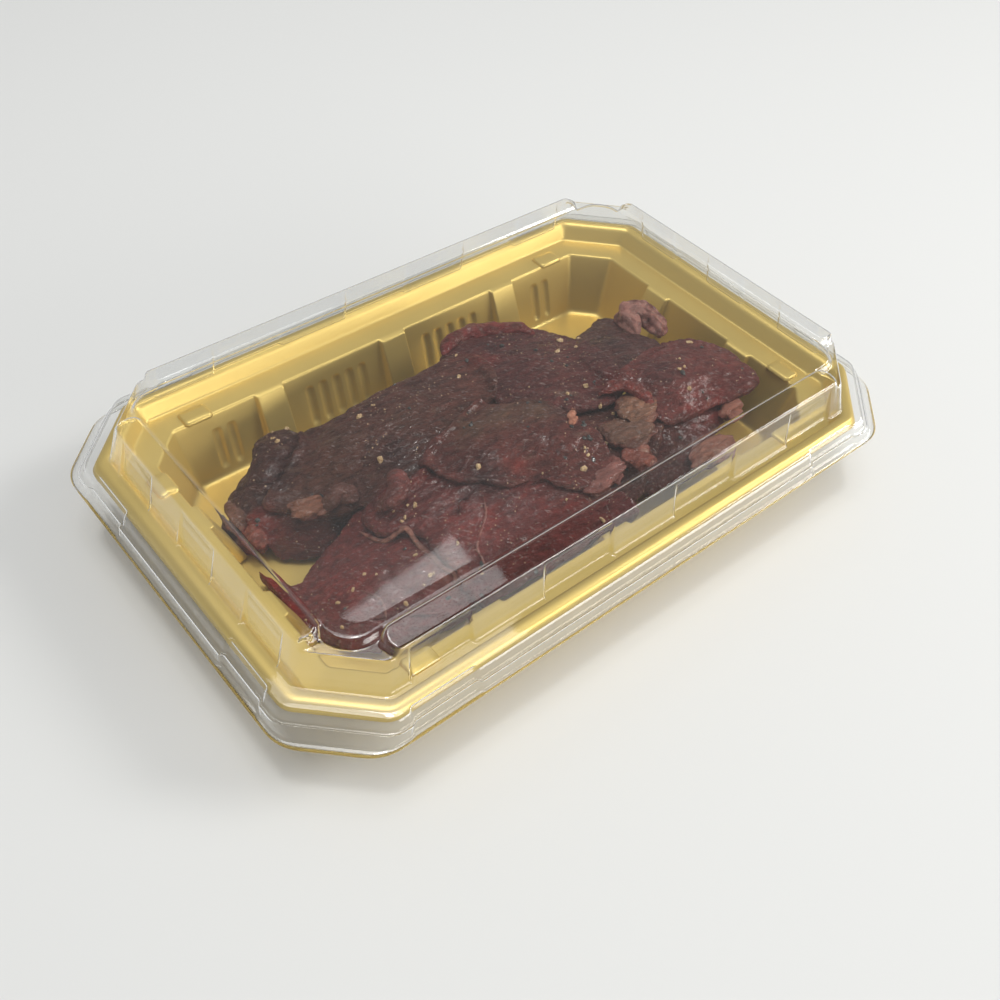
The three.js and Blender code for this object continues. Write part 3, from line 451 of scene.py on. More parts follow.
def tray_heights():
    """Bends of the profile, with extra rings up the wall where the flutes need them."""
    line = round_bends(TRAY_BENDS, 5)
    wall = [i for i in range(len(line) - 1) if line[i + 1][2] - line[i][2] > 8][0]
    low, high = line[wall], line[wall + 1]
    levels = [3.0, 3.6, 4.4, 6.5, 9.0, 11.5, 13.2, 13.9, 14.4, 14.8, 15.15, 15.45, 15.7, 16.0, 17.5]
    extra = [low + (high - low) * (z - low[2]) / (high[2] - low[2]) for z in levels if z > low[2] + 0.2]
    return np.vstack([line[: wall + 1], extra, line[wall + 1:]])


def tray_skin():
    long_marks, short_marks = tray_marks()
    points, along_all, up_all, out_all, wall_all = [], [], [], [], []
    for half_x, half_y, height, radius in tray_heights():
        ring, along, side, out = octagon_ring(
            half_x, half_y, height, radius, long_marks, short_marks, (65, 30))
        up_wall = step_between(height, 0.7, 2.2) * (1 - step_between(height, 19.9, 20.4))
        stand = PILASTER_RISE + PILASTER_FOOT * (1 - height / WALL_TOP)
        push = pilaster_push(along, side) * up_wall * stand
        points.append(ring - out * push[:, None])
        along_all.append(along)
        up_all.append(np.full(len(along), height))
        out_all.append(out)
        wall_all.append(np.where(np.isin(side, (1, 3)), 1.0 if 1.0 < height < 19.9 else 0.0, 0.0))
    inner = [points[0] * (scale, scale, 1) for scale in FLOOR_SCALES]
    points = inner + points
    extra = len(FLOOR_SCALES)
    along_all = along_all[:1] * extra + along_all
    up_all = up_all[:1] * extra + up_all
    out_all = out_all[:1] * extra + out_all
    wall_all = wall_all[:1] * extra + wall_all
    count = len(points[0])
    faces = ring_faces(len(points), count)
    faces.append(list(range(count)))
    mesh = make_mesh("tray_skin", np.vstack(points), faces)
    store(mesh, "along", np.concatenate(along_all))
    store(mesh, "up", np.concatenate(up_all))
    store(mesh, "outward", np.vstack(out_all), "FLOAT_VECTOR")
    store(mesh, "fluted", np.concatenate(wall_all))
    return mesh


tray_piece = link_piece("gold_tray", tray_skin())
fix_normals(tray_piece, (0, 0, 1))
print("tray skin has", len(tray_piece.data.polygons), "faces")

# %% [markdown]
# ## Flutes
# Rows of short round-headed grooves stiffen the long walls. They repeat by a rule, so Geometry
# Nodes make them: each point of the wall finds its nearest groove from its distance along the
# side, and is pushed out by the height of a half ellipse. Pitch, width and depth are inputs.

# %% Build the flute tree
def new_tree(name, floats):
    """A geometry tree with one geometry input, named number inputs and one geometry output."""
    tree = bpy.data.node_groups.new(name, "GeometryNodeTree")
    tree.interface.new_socket("Geometry", in_out="INPUT", socket_type="NodeSocketGeometry")
    tree.interface.new_socket("Geometry", in_out="OUTPUT", socket_type="NodeSocketGeometry")
    for label, value in floats.items():
        socket = tree.interface.new_socket(label, in_out="INPUT", socket_type="NodeSocketFloat")
        socket.default_value = value
    return tree, tree.nodes.new("NodeGroupInput"), tree.nodes.new("NodeGroupOutput")


def read_attribute(tree, name, kind="FLOAT"):
    node = add_node(tree, "GeometryNodeInputNamedAttribute", {"Name": name}, data_type=kind)
    return [o for o in node.outputs if o.enabled and o.name == "Attribute"][0]


def push_points(tree, geometry, direction, distance):
    """Moves every point by distance, in millimetres, along direction."""
    metres = math_node(tree, "MULTIPLY", distance, MM)
    push = add_node(tree, "ShaderNodeVectorMath", {0: direction, "Scale": metres}, operation="SCALE")
    move = add_node(tree, "GeometryNodeSetPosition", {"Geometry": geometry, "Offset": push.outputs[0]})
    return move.outputs[0]


def paint_points(tree, geometry, material):
    paint = add_node(tree, "GeometryNodeSetMaterial", {"Geometry": geometry, "Material": material})
    return paint.outputs[0]


def nearest_of(tree, distance, middle, pitch, first, last, shift):
    """Distance to the nearest of the grooves numbered first to last round middle."""
    calc = partial(math_node, tree)
    away = calc("SUBTRACT", distance, middle)
    whole = calc("ADD", calc("ROUND", calc("SUBTRACT", calc("DIVIDE", away, pitch), shift)), shift)
    capped = calc("MINIMUM", calc("MAXIMUM", whole, first), last)
    return calc("ABSOLUTE", calc("SUBTRACT", away, calc("MULTIPLY", capped, pitch)))


def flute_tree(material):
    tree, source, result = new_tree("flute_relief", {
        "Pitch": FLUTE_PITCH, "Half width": FLUTE_HALF, "Depth": FLUTE_DEPTH,
        "Head height": FLUTE_HEAD, "Foot height": FLUTE_FOOT,
        "Group middle": FLUTE_GROUP, "Pair middle": FLUTE_PAIR})
    inputs = source.outputs
    calc = partial(math_node, tree)
    distance = calc("ABSOLUTE", read_attribute(tree, "along"))
    group = nearest_of(tree, distance, inputs["Group middle"], inputs["Pitch"], -2.0, 2.0, 0.0)
    pair = nearest_of(tree, distance, inputs["Pair middle"], inputs["Pitch"], -0.5, 0.5, 0.5)
    across = calc("MINIMUM", group, pair)
    height = read_attribute(tree, "up")
    over = calc("MAXIMUM", calc("SUBTRACT", height, inputs["Head height"]), 0.0)
    under = calc("MAXIMUM", calc("SUBTRACT", inputs["Foot height"], height), 0.0)
    beyond = calc("ADD", over, under)
    squares = calc("ADD", calc("MULTIPLY", across, across), calc("MULTIPLY", beyond, beyond))
    share = calc("DIVIDE", calc("SQRT", squares), inputs["Half width"])
    left = calc("MAXIMUM", calc("SUBTRACT", 1.0, calc("MULTIPLY", share, share)), 0.0)
    depth = calc("MULTIPLY", calc("POWER", left, 0.75), inputs["Depth"])
    depth = calc("MULTIPLY", depth, read_attribute(tree, "fluted"))
    moved = push_points(
        tree, inputs["Geometry"], read_attribute(tree, "outward", "FLOAT_VECTOR"), depth)
    plug(tree, result.inputs[0], paint_points(tree, moved, material))
    return tree


def run_tree(piece, tree, values=None):
    """Runs a tree on a piece with its inputs set by identifier, and applies it."""
    modifier = piece.modifiers.new(tree.name, "NODES")
    modifier.node_group = tree
    sockets = {i.name: i.identifier for i in tree.interface.items_tree if i.in_out == "INPUT"}
    for label, value in (values or {}).items():
        modifier[sockets[label]] = value
    return finish_modifiers(piece)


# %% [markdown]
# ## Shared surface effects
# Two effects are used by more than one material, so each is a node group: "uneven" is a slow
# change of a value over the surface, and "fine_ripple" is a small height for a Bump node.

# %% Build the shared shader groups
def effect_group(name, sockets_in, output, kind="NodeSocketFloat"):
    group = bpy.data.node_groups.new(name, "ShaderNodeTree")
    for label, value in sockets_in.items():
        socket = group.interface.new_socket(label, in_out="INPUT", socket_type="NodeSocketFloat")
        socket.default_value = value
    group.interface.new_socket(output, in_out="OUTPUT", socket_type=kind)
    return group, group.nodes.new("NodeGroupInput"), group.nodes.new("NodeGroupOutput")


def object_place(tree):
    return add_node(tree, "ShaderNodeTexCoord").outputs["Object"]


def noise_node(tree, place, scale, detail, roughness=0.5):
    return add_node(tree, "ShaderNodeTexNoise", {
        "Vector": place, "Scale": scale, "Detail": detail, "Roughness": roughness}).outputs[0]


def map_range(tree, value, low, high, to_low, to_high):
    return add_node(tree, "ShaderNodeMapRange", {
        "Value": value, "From Min": low, "From Max": high, "To Min": to_low, "To Max": to_high,
    }).outputs[0]


def uneven_group():
    group, source, result = effect_group("uneven", {"Scale": 60.0, "Low": 0.0, "High": 1.0}, "Value")
    spots = noise_node(group, object_place(group), source.outputs["Scale"], 4.0)
    plug(group, result.inputs[0], map_range(
        group, spots, 0.3, 0.7, source.outputs["Low"], source.outputs["High"]))
    return group


def ripple_group():
    group, source, result = effect_group("fine_ripple", {"Scale": 900.0, "Roughness": 0.6}, "Height")
    grain = noise_node(
        group, object_place(group), source.outputs["Scale"], 5.0, source.outputs["Roughness"])
    plug(group, result.inputs[0], grain)
    return group


UNEVEN = uneven_group()
RIPPLE = ripple_group()


def use_group(tree, group, **values):
    return add_node(tree, "ShaderNodeGroup", values, node_tree=group).outputs[0]


def add_bump(tree, shade, height, distance, strength):
    bump = add_node(tree, "ShaderNodeBump", {
        "Height": height, "Distance": distance, "Strength": strength})
    plug(tree, shade.inputs["Normal"], bump.outputs[0])


print("shared effects ready")

# %% [markdown]
# ## Gold sheet
# The tray is plastic with a satin gold face. It is a thin metal layer under lacquer, so Metallic
# stays below 1 and part of the colour is matt. The roughness drifts a little, and a very fine
# ripple stops the reflections being perfect.

# %% Make the gold material
def gold_material():
    material, tree, shade = simple_material("satin_gold_sheet")
    shade.inputs["Base Color"].default_value = (0.72, 0.535, 0.165, 1)
    shade.inputs["Metallic"].default_value = 0.60
    plug(tree, shade.inputs["Roughness"], use_group(tree, UNEVEN, Scale=45.0, Low=0.36, High=0.44))
    add_bump(tree, shade, use_group(tree, RIPPLE, Scale=1400.0, Roughness=0.6), 0.00004, 0.5)
    return material


GOLD = gold_material()
tray_piece = run_tree(tray_piece, flute_tree(GOLD))
tray_piece = thicken(tray_piece, TRAY_SHEET, -1)
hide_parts("tray")
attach(tray_piece, "root")
print("tray has", len(tray_piece.data.polygons), "faces")

# %% [markdown]
# ## Stacking pads
# Six small raised pads stand on the inner edge of the tray's ledge. Stacked empty trays rest on
# them. Each is a tapered block with softened edges, made by one function.

# %% Make the stacking pads
PAD_PLACES = ((-66.2, 52.8, 0), (65.6, 52.8, 0), (-66.2, -52.8, 0), (65.6, -52.8, 0),
              (-86.4, 33.4, 90), (86.4, -33.4, 90))
# half length, half width, height
PAD_LEVELS = ((4.5, 3.1, 19.95), (4.3, 2.9, 20.5), (4.0, 2.6, 20.95), (3.7, 2.3, 21.1), (2.0, 1.0, 21.1))


def rounded_ring(half, corner, height, steps=4):
    """A rectangle with rounded corners."""
    ring = []
    for quarter, signs in enumerate(((1, 1), (-1, 1), (-1, -1), (1, -1))):
        x, y = (np.array(half) - corner) * signs
        for k in range(steps + 1):
            angle = (quarter + k / steps) * math.pi / 2
            ring.append((x + corner * math.cos(angle), y + corner * math.sin(angle), height))
    return np.array(ring)


def stacking_pads():
    points, faces = [], []
    for x, y, turn in PAD_PLACES:
        angle = math.radians(turn)
        spin = np.array(((math.cos(angle), math.sin(angle)), (-math.sin(angle), math.cos(angle))))
        rings = [rounded_ring((a, b), min(a, b) * 0.45, z) for a, b, z in PAD_LEVELS]
        count = len(rings[0])
        start = len(points)
        for ring in rings:
            points += [(*(np.array(p[:2]) @ spin + (x, y)), p[2]) for p in ring]
        faces += [[start + n for n in face] for face in ring_faces(len(rings), count)]
        last = start + (len(rings) - 1) * count
        faces.append([last + k for k in range(count)])
        faces.append([start + k for k in reversed(range(count))])
    return make_mesh("stacking_pads", points, faces)


pads = link_piece("stacking_pads", stacking_pads())
pads.data.materials.append(GOLD)
fix_normals(pads)
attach(pads, "root")
print("pads", len(pads.data.polygons))

# %% [markdown]
# ## Lid
# The lid is one clear sheet. Four rails stand round a slightly sunk panel, a lower step sits at
# each cut corner, and the wall below has flush and sunk panels in turn. A skirt clips over the
# tray's rim. The lid is made of rings like the tray. Each bend gives two heights, one for the
# corner step and one for the rail, and a smooth mask in plan chooses between them.

# %% Shape the lid
LID_SHEET = 0.24
RAIL_HALF = 4.3
RAIL_ROUND = 4.1
LONG_RAIL = (77.0, 54.7)
SHORT_RAIL = (43.5, 89.3)
# half length, half width, height at corner, height at rail, corner radius, corner cut, rounding
LID_TOP = [
    (82.5, 47.3, 38.0, 38.0, 6.9, 4.2, 0.0),
    (85.5, 50.3, 38.1, 38.1, 7.1, 4.3, 0.9),
    (86.7, 51.5, 36.0, 39.0, 7.5, 4.6, 0.8),
    (92.4, 57.7, 35.9, 38.1, 3.6, 14.0, 1.0),
    (95.5, 59.6, 26.3, 26.3, 3.4, 15.5, 0.9),
    (98.9, 63.9, 26.3, 26.3, 5.0, 17.2, 0.0),
]
LID_SKIRT = [
    (98.9, 63.9, 26.3, 26.3, 5.0, 17.2, 0.0),
    (101.1, 65.8, 26.0, 26.0, 5.8, 18.3, 1.6),
    (102.1, 66.6, 22.6, 22.6, 6.5, 18.8, 0.8),
    (103.2, 67.5, 22.9, 22.9, 7.2, 19.4, 0.5),
    (103.6, 67.8, 19.7, 19.7, 10.0, 17.4, 0.6),
    (104.95, 68.85, 19.6, 19.6, 12.5, 17.0, 0.0),
]
PANEL_SCALES = (0.7, 0.985)
PANEL_INSET = 1.3
SNAP_INSET = 0.9
LONG_JOINTS = (11.2, 33.5, 55.8)
SHORT_JOINTS = (7.5, 22.5)
LONG_BLOCK = 73.4
SHORT_BLOCK = 37.4
LONG_SNAP = (60.2, 75.6)
SHORT_SNAP = (25.6, 39.0)
JOINT_HALF = 0.45


def lid_marks():
    near = [(j - 0.9, j + 0.9, 0.3) for j in (*LONG_JOINTS, LONG_BLOCK)]
    snap = [(LONG_SNAP[0] - 1.4, LONG_SNAP[0] + 0.4, 0.4)]
    long_marks = marks(78.0, 4.5, [*near[:3], *snap, (71.6, 78.0, 0.4)])
    near = [(j - 0.9, j + 0.9, 0.3) for j in (*SHORT_JOINTS, SHORT_BLOCK)]
    snap = [(SHORT_SNAP[0] - 1.4, SHORT_SNAP[0] + 0.4, 0.4)]
    short_marks = marks(42.4, 4.5, [*near[:2], *snap, (36.4, 42.4, 0.4)])
    return long_marks, short_marks


def rail_mask(points):
    """1 on a rail, 0 off it, smooth over about a millimetre at the rounded rail ends."""
    x, y = np.abs(points[:, 0]), np.abs(points[:, 1])
    mask = np.zeros(len(points))
    for (length, middle), (s, w) in ((LONG_RAIL, (x, y)), (SHORT_RAIL, (y, x))):
        over = np.maximum(np.stack([s - length, np.abs(w - middle) - RAIL_HALF]) + RAIL_ROUND, 0)
        away = np.hypot(over[0], over[1]) - RAIL_ROUND
        mask = np.maximum(mask, 1 - step_between(away, -0.7, 0.7))
    return mask


def panel_sink(along, side):
    """How far each place of the wall lies in: 1 on a sunk panel, 0 on a flush one."""
    sink = np.zeros(len(along))
    for joints, block, sides, starts_sunk in (
            (LONG_JOINTS, LONG_BLOCK, (1, 3), False), (SHORT_JOINTS, SHORT_BLOCK, (0, 2), True)):
        away = np.abs(along)
        value = np.full(len(along), 1.0 if starts_sunk else 0.0)
        sunk = starts_sunk
        for joint in (*joints, block):
            sunk = not sunk
            change = step_between(away, joint - JOINT_HALF, joint + JOINT_HALF)
            value = value + (1 if sunk else -1) * change
        sink = np.where(np.isin(side, sides), value, sink)
    return np.clip(sink, 0, 1)


def snap_press(along, side):
    press = np.zeros(len(along))
    for (start, stop), sides in ((LONG_SNAP, (1, 3)), (SHORT_SNAP, (0, 2))):
        away = np.abs(along)
        value = step_between(away, start - 1.2, start) * (1 - step_between(away, stop, stop + 1.2))
        press = np.where(np.isin(side, sides), value, press)
    return press


def add_levels(line, low, high, count):
    """Extra levels evenly between two neighbours of a line."""
    return [line[low] + (line[high] - line[low]) * t for t in np.linspace(0, 1, count + 2)[1:-1]]


def lid_levels():
    top = round_bends(LID_TOP, 5)
    skirt = round_bends(LID_SKIRT, 4)[1:]
    levels, zones = [], []
    for i, level in enumerate(top):
        levels.append(level)
        if i + 1 < len(top):
            gap = np.linalg.norm(top[i + 1][:3] - level[:3])
            if gap > 3.0:
                levels += add_levels(top, i, i + 1, int(gap / 0.6))
    corner_top = LID_TOP[3][0]
    for level in levels:
        zones.append("top" if level[0] <= corner_top + 0.35 else "wall")
    levels += list(skirt)
    zones += ["skirt"] * len(skirt)
    return np.array(levels), zones


def lid_skin():
    long_marks, short_marks = lid_marks()
    levels, zones = lid_levels()
    base = LID_TOP[4][2]
    rings, wall_top = [], None
    for (half_x, half_y, low, high, radius, corner_cut), zone in zip(levels, zones):
        ring, along, side, out = octagon_ring(
            half_x, half_y, low, radius, long_marks, short_marks, (70.0, 34.0), corner_cut)
        if zone == "top":
            mask = rail_mask(ring)
            wall_top = mask
            ring[:, 2] = low + (high - low) * mask
        if zone == "wall":
            ring[:, 2] = low + (high - low) * wall_top
            drop = np.clip((high - base) / (LID_TOP[3][3] - base), 0, 1)
            past = step_between(half_x, LID_TOP[4][0] + 0.6, LID_TOP[5][0] - 0.4)
            depth = PANEL_INSET * (1 - drop) ** 1.15 * (1 - past)
            ring -= out * (panel_sink(along, side) * depth)[:, None]
        if zone == "skirt":
            press = step_between(half_x, 99.6, 101.0) * (1 - step_between(half_x, 103.3, 104.6))
            ring -= out * (snap_press(along, side) * SNAP_INSET * press)[:, None]
        rings.append(ring)
    # The second ring keeps the panel flat up to its edge, so it mirrors as one flat sheet.
    rings = [rings[0] * (scale, scale, 1) for scale in PANEL_SCALES] + rings
    count = len(rings[0])
    faces = ring_faces(len(rings), count)
    faces.append(list(range(count)))
    return make_mesh("lid_skin", np.vstack(rings), faces)


# %% [markdown]
# ## Clear sheet
# The lid is real glass-like plastic for the camera, so its bends catch the light. Shadow rays
# and rays that left the meat or the gold see a plain transparent sheet instead: what lies under
# the lid is then lit cleanly, as it is under a real thin sheet.

# %% Make the clear material and the lid
def clear_material():
    material, tree, shade = simple_material("clear_lid_sheet")
    shade.inputs["Base Color"].default_value = (0.985, 0.99, 0.985, 1)
    shade.inputs["Transmission Weight"].default_value = 1.0
    shade.inputs["Roughness"].default_value = 0.03
    shade.inputs["IOR"].default_value = 1.53
    clear = add_node(tree, "ShaderNodeBsdfTransparent", {"Color": (0.93, 0.93, 0.925, 1)})
    path = add_node(tree, "ShaderNodeLightPath").outputs
    seen = math_node(tree, "MAXIMUM", path["Is Camera Ray"], path["Is Transmission Ray"])
    blend = add_node(tree, "ShaderNodeMixShader", {0: seen, 1: clear.outputs[0], 2: shade.outputs[0]})
    output = [n for n in tree.nodes if n.type == "OUTPUT_MATERIAL"][0]
    plug(tree, output.inputs["Surface"], blend.outputs[0])
    add_bump(tree, shade, use_group(tree, RIPPLE, Scale=60.0, Roughness=0.2), 0.00003, 0.10)
    return material


CLEAR = clear_material()
lid_piece = link_piece("clear_lid", lid_skin())
lid_piece.data.materials.append(CLEAR)
fix_normals(lid_piece, (0, 0, 1))
lid_piece = thicken(lid_piece, LID_SHEET, -1)
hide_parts("lid")
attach(lid_piece, "root")
print("lid has", len(lid_piece.data.polygons), "faces")

# %% [markdown]
# ## Meat slices: where they lie
# The filling is raw sliced meat, laid in the tray slice over slice. Each slice is described by
# the points of its edge and a few crown points, in millimetres, then the direction of its grain
# in degrees and its own colour. They are listed in the order in which they were laid.

# %% List the slices
SLICES = {
    "slice_left_back": ([
        (-49.7, 37.9, 17), (-55, 38.6, 15.5), (-60.3, 34.4, 14), (-66.7, 30.6, 11), (-70.5, 30.8, 8),
        (-74.1, 27.7, 6), (-76.4, 24.2, 4.5), (-75.6, 18.2, 4), (-73.5, 13.4, 4), (-69.9, 10.8, 6),
        (-62.7, 15.8, 9), (-52.5, 21.3, 12), (-43.9, 24.8, 16), (-44.8, 31.4, 18),
    ], [
        (-61.3, 24.8, 14.5), (-68.6, 21.4, 10), (-52.3, 28.4, 18),
    ], 25, (84, 64, 60)),
    "slice_left_under": ([
        (-66.2, 19.2, 9.5), (-70.3, 19.6, 7), (-71.7, 18.2, 5.5), (-70.9, 12.4, 4.5), (-67.8, 6.9, 4),
        (-63.2, 3.1, 4), (-59.2, 0.8, 5), (-53.7, 2.1, 7), (-47.6, 3.2, 9), (-42.2, 4.1, 12),
        (-43.5, 9.8, 14), (-56.1, 15.6, 13),
    ], [
        (-65.3, 9.1, 8.5), (-59.4, 5.9, 9.5), (-51.6, 5.3, 11),
    ], 10, (96, 52, 48)),
    "slice_front_left": ([
        (-76.7, 3.1, 4), (-73.9, 1, 4.5), (-72.1, -3.5, 5), (-69.4, -4.7, 5.5), (-66.7, -3, 6),
        (-61.9, -1.6, 7.5), (-55.5, -0.3, 10), (-49.5, 1.2, 12), (-44.7, 0.8, 14), (-39.6, -8.3, 15),
        (-38.9, -24.9, 15.5), (-38.1, -36.6, 14), (-40.1, -41.4, 10), (-46.9, -39.7, 8.5),
        (-55.1, -38, 7), (-61.8, -36.3, 6), (-67.5, -33.4, 5), (-71.6, -28.3, 4.5), (-74.4, -22.1, 4),
        (-76.1, -14.5, 4), (-77.3, -5.7, 3.5),
    ], [
        (-65.3, -12.6, 8.5), (-56, -17.4, 12.5), (-67.3, -24.5, 7.5), (-54.7, -28.8, 10.5),
        (-46.4, -26.2, 14),
    ], 70, (112, 58, 56)),
    "slice_right_under": ([
        (37, -21.5, 20), (49.8, -25.4, 20), (63.9, -29, 18), (63.1, -33.5, 16), (55.9, -34.9, 14.5),
        (53.4, -36.9, 12.5), (50.1, -40.4, 11), (45, -40.9, 9), (36.6, -40.8, 9), (26.4, -40.5, 10),
        (22.5, -37.7, 13), (26.8, -30.9, 17),
    ], [
        (38.3, -33, 18), (33.2, -36.9, 14),
    ], 10, (88, 56, 54)),
    "slice_low_middle": ([
        (17.9, -12.6, 22.5), (28.3, -13.3, 22.5), (41.4, -16.6, 22), (40.3, -27.2, 20.5),
        (26.8, -37.4, 17), (16.2, -41.5, 14), (8.5, -37.8, 14.5), (6.9, -30.8, 18), (11.1, -19.5, 21),
    ], [
        (18.9, -25.3, 23), (20, -34.1, 19.5),
    ], 60, (92, 66, 62)),
    "slice_back_right": ([
        (46.2, 16.4, 20), (51.9, 18, 20), (58.7, 20.1, 19.5), (63.1, 17.7, 19.5), (64.4, 12.8, 20),
        (63.7, 3.6, 21), (63.7, -4.8, 22.5), (58.3, -12, 24), (43.5, -13.8, 25.5), (33.2, -7.5, 25.5),
        (35.2, 5.3, 23.5),
    ], [
        (50.1, 3.5, 23.5),
    ], -35, (90, 66, 64)),
    "slice_back": ([
        (3.5, 30, 23), (8.2, 33.6, 23), (14.2, 35.4, 22.5), (21.8, 35, 22), (28.6, 32.6, 22),
        (34.3, 28.7, 21.5), (39.2, 23.4, 21.5), (43.6, 15.8, 22), (43.8, 7.9, 23.5), (42.3, -3.1, 25),
        (35.4, -14.5, 25.5), (25.3, -15.9, 26), (14.7, -10.5, 26.5), (4.4, -0.8, 26), (3.8, 8.3, 25.5),
        (7.2, 20.9, 25),
    ], [
        (21.5, 15, 25.5), (25.4, 1.6, 27), (15.1, 25.9, 24),
    ], -20, (94, 60, 60)),
    "slice_left_top": ([
        (-44.3, 31.6, 18), (-37.7, 30.3, 20), (-30.1, 28.8, 22), (-21.5, 28.6, 23), (-13, 28.1, 24),
        (-4.6, 27.2, 25), (2.5, 26.8, 26), (9.3, 23.6, 26), (11.1, 17.8, 26), (7.1, 7.9, 26),
        (1.1, 4.2, 26), (-10.7, 0.6, 25.5), (-22.7, -3.5, 24), (-30.5, -7.2, 22), (-39.1, -7.6, 20),
        (-43.6, -3.8, 18), (-46.8, 0, 16), (-51.4, 2.9, 14.5), (-56, 5.8, 13), (-60.3, 10, 12.5),
        (-65.1, 15.5, 12), (-66, 18, 12), (-61.4, 21, 14.5), (-56, 23.2, 16.5), (-50, 26.4, 17.5),
    ], [
        (-45.8, 15.5, 20.5), (-30.3, 13.7, 24.5), (-48.3, 7.4, 17), (-8.4, 15.1, 27),
        (-20.3, 8.8, 26.5), (-37.7, 3.5, 21.5), (-56.2, 15, 15.5),
    ], 12, (92, 66, 60)),
    "slice_front_right": ([
        (-48.1, -1.8, 16), (-49.1, -8.8, 16.5), (-47.6, -12.6, 17), (-42.7, -14.8, 18),
        (-41.3, -21.5, 18), (-41.2, -28.7, 17.5), (-40.3, -33.4, 16.5), (-41.3, -37.4, 13),
        (-38.9, -41.9, 10), (-26.7, -43.4, 11), (-13.9, -44.6, 12), (-1.1, -46.4, 13),
        (9.9, -46.6, 13.5), (14.9, -45.1, 15), (11.8, -39.5, 19), (3.3, -32.1, 22), (-10.6, -23.1, 23),
        (-21.2, -14.9, 23.5), (-27.9, -5.9, 22.5), (-36.9, -4.6, 20),
    ], [
        (-36.2, -12.6, 20.5), (-32.7, -25.3, 19.5), (-22.3, -29.1, 20), (-28, -36.3, 16.5),
        (-8.5, -37.7, 18.5), (3.4, -40.8, 17.5),
    ], -10, (106, 56, 54)),
    "slice_middle": ([
        (-2.2, 5.6, 26), (2.1, 1.1, 27), (9.2, -3.7, 27.5), (14.3, -10.7, 28), (15.2, -18.1, 28),
        (17.2, -24.3, 27), (16.1, -30.8, 25), (11.3, -35.6, 22), (6.2, -36.5, 20), (0, -34, 20.5),
        (-4.5, -30.8, 21), (-7.1, -25.4, 22), (-13.2, -24.2, 22.5), (-19.8, -19.5, 23),
        (-25.6, -13.9, 23), (-28.4, -6.6, 23), (-30.2, -3.6, 23.5), (-24.3, -0.2, 25),
        (-17.3, 1.3, 26), (-9, 4.3, 26),
    ], [
        (-12.9, -8.5, 28), (-2.7, -13.1, 29.5), (4, -22.2, 29), (-13.7, -18.1, 26.5), (0.1, -27, 25.5),
        (9.4, -29, 25.5),
    ], -25, (98, 60, 56)),
    "slice_right": ([
        (26.1, -13.7, 28.5), (33.4, -11.9, 28.5), (48.3, -6.7, 26), (62.5, -5.2, 24.5),
        (71.7, -8.4, 23.5), (78, -15.6, 22.5), (78.7, -24.2, 22), (77.4, -32.4, 21.5),
        (68.8, -33.4, 21), (60.8, -31.9, 20.5), (52.5, -30.8, 20.5), (46.1, -30.4, 20.5),
        (39.2, -29.1, 20.5), (37, -25.5, 21), (39.7, -21.6, 22.5), (38.7, -17.2, 24.5),
        (34.1, -13.2, 26),
    ], [
        (57.3, -20.7, 26.5), (43.3, -17.7, 27.5), (69.2, -24.5, 24), (48.6, -25.4, 24.5),
    ], -12, (104, 62, 60)),
}

# %% [markdown]
# ## Rolled edges, fat and gristle
# Rolls are edges of a slice that turned over, and lie along a short path. Lumps are bits of fat
# and gristle, each with its middle, half sizes, turn and colour.

# %% List the rolls and lumps
ROLLS = {
    "curl_red": ([
        (-46, -6.2, 19.5), (-40.5, -7.6, 22.6), (-37.2, -4.4, 24.0), (-37.6, -0.8, 24.0),
    ], 2.9, (112, 64, 60)),
    "fold_back": ([
        (4.2, 29.9, 23.5), (9, 33.7, 23), (15.1, 34.6, 23), (21.3, 33.5, 22.8), (27.2, 31, 22.5),
        (32.9, 27.1, 22), (33.9, 21.5, 22),
    ], 2.8, (120, 52, 50)),
    "fold_right": ([
        (27, -13.6, 28), (32.7, -14, 28), (36.7, -17.8, 27.5), (37.9, -22.8, 25.5),
        (37.1, -26.9, 23.5),
    ], 2.3, (120, 56, 50)),
    "fold_left": ([
        (-54.9, 6.4, 14.5), (-51.4, 6.2, 16), (-48, 5.3, 17), (-47.1, 1, 16.5),
    ], 2.5, (104, 72, 64)),
    "gristle_back": ([
        (61.4, 4.6, 21.2), (62.6, 8.6, 21.8), (64.2, 12.4, 22.0), (68.0, 13.4, 21.8), (70.4, 9.6, 21.4),
        (69.6, 4.6, 21.0), (67.4, 0.2, 21.0),
    ], 4.0, (164, 124, 116)),
}
LUMPS = {
    "fat_left": ((-57.5, 8.6, 15.5), (5.0, 3.0, 2.4), -20, (138, 98, 78)),
    "fat_red_left": ((-71.2, 14.6, 8.2), (4.4, 3.0, 2.6), 60, (150, 92, 80)),
    "gristle_left": ((-72.3, 22.6, 9.0), (4.2, 2.8, 2.2), 70, (116, 88, 76)),
    "gristle_tan": ((33.1, -22.6, 26.0), (5.4, 4.4, 2.6), 20, (140, 106, 86)),
    "gristle_low": ((26.0, -27.0, 24.8), (6.0, 4.4, 2.8), -30, (120, 92, 78)),
    "gristle_orange": ((22.6, -35.5, 23.0), (4.8, 3.6, 2.8), -25, (132, 80, 68)),
    "gristle_pink": ((10.6, -34.3, 22.5), (5.8, 4.4, 2.6), 15, (136, 94, 88)),
    "fat_right_tip": ((64.0, -33.6, 17.6), (4.8, 3.2, 2.8), 35, (168, 118, 102)),
    "fat_front_right": ((50.4, -40.4, 14.0), (7.0, 3.6, 3.2), 5, (150, 106, 88)),
    "flake_pink": ((13.1, -17.2, 30.0), (3.4, 1.1, 0.9), 50, (180, 130, 108)),
}

# %% [markdown]
# ## Patches of colour
# Raw meat that met the air turns from red to grey-brown in patches. A patch here is a place seen
# from above, a radius and a colour. Every vertex takes its slice's colour and blends towards the
# patches near it. The colours are stored on the mesh, so that each slice keeps its own.

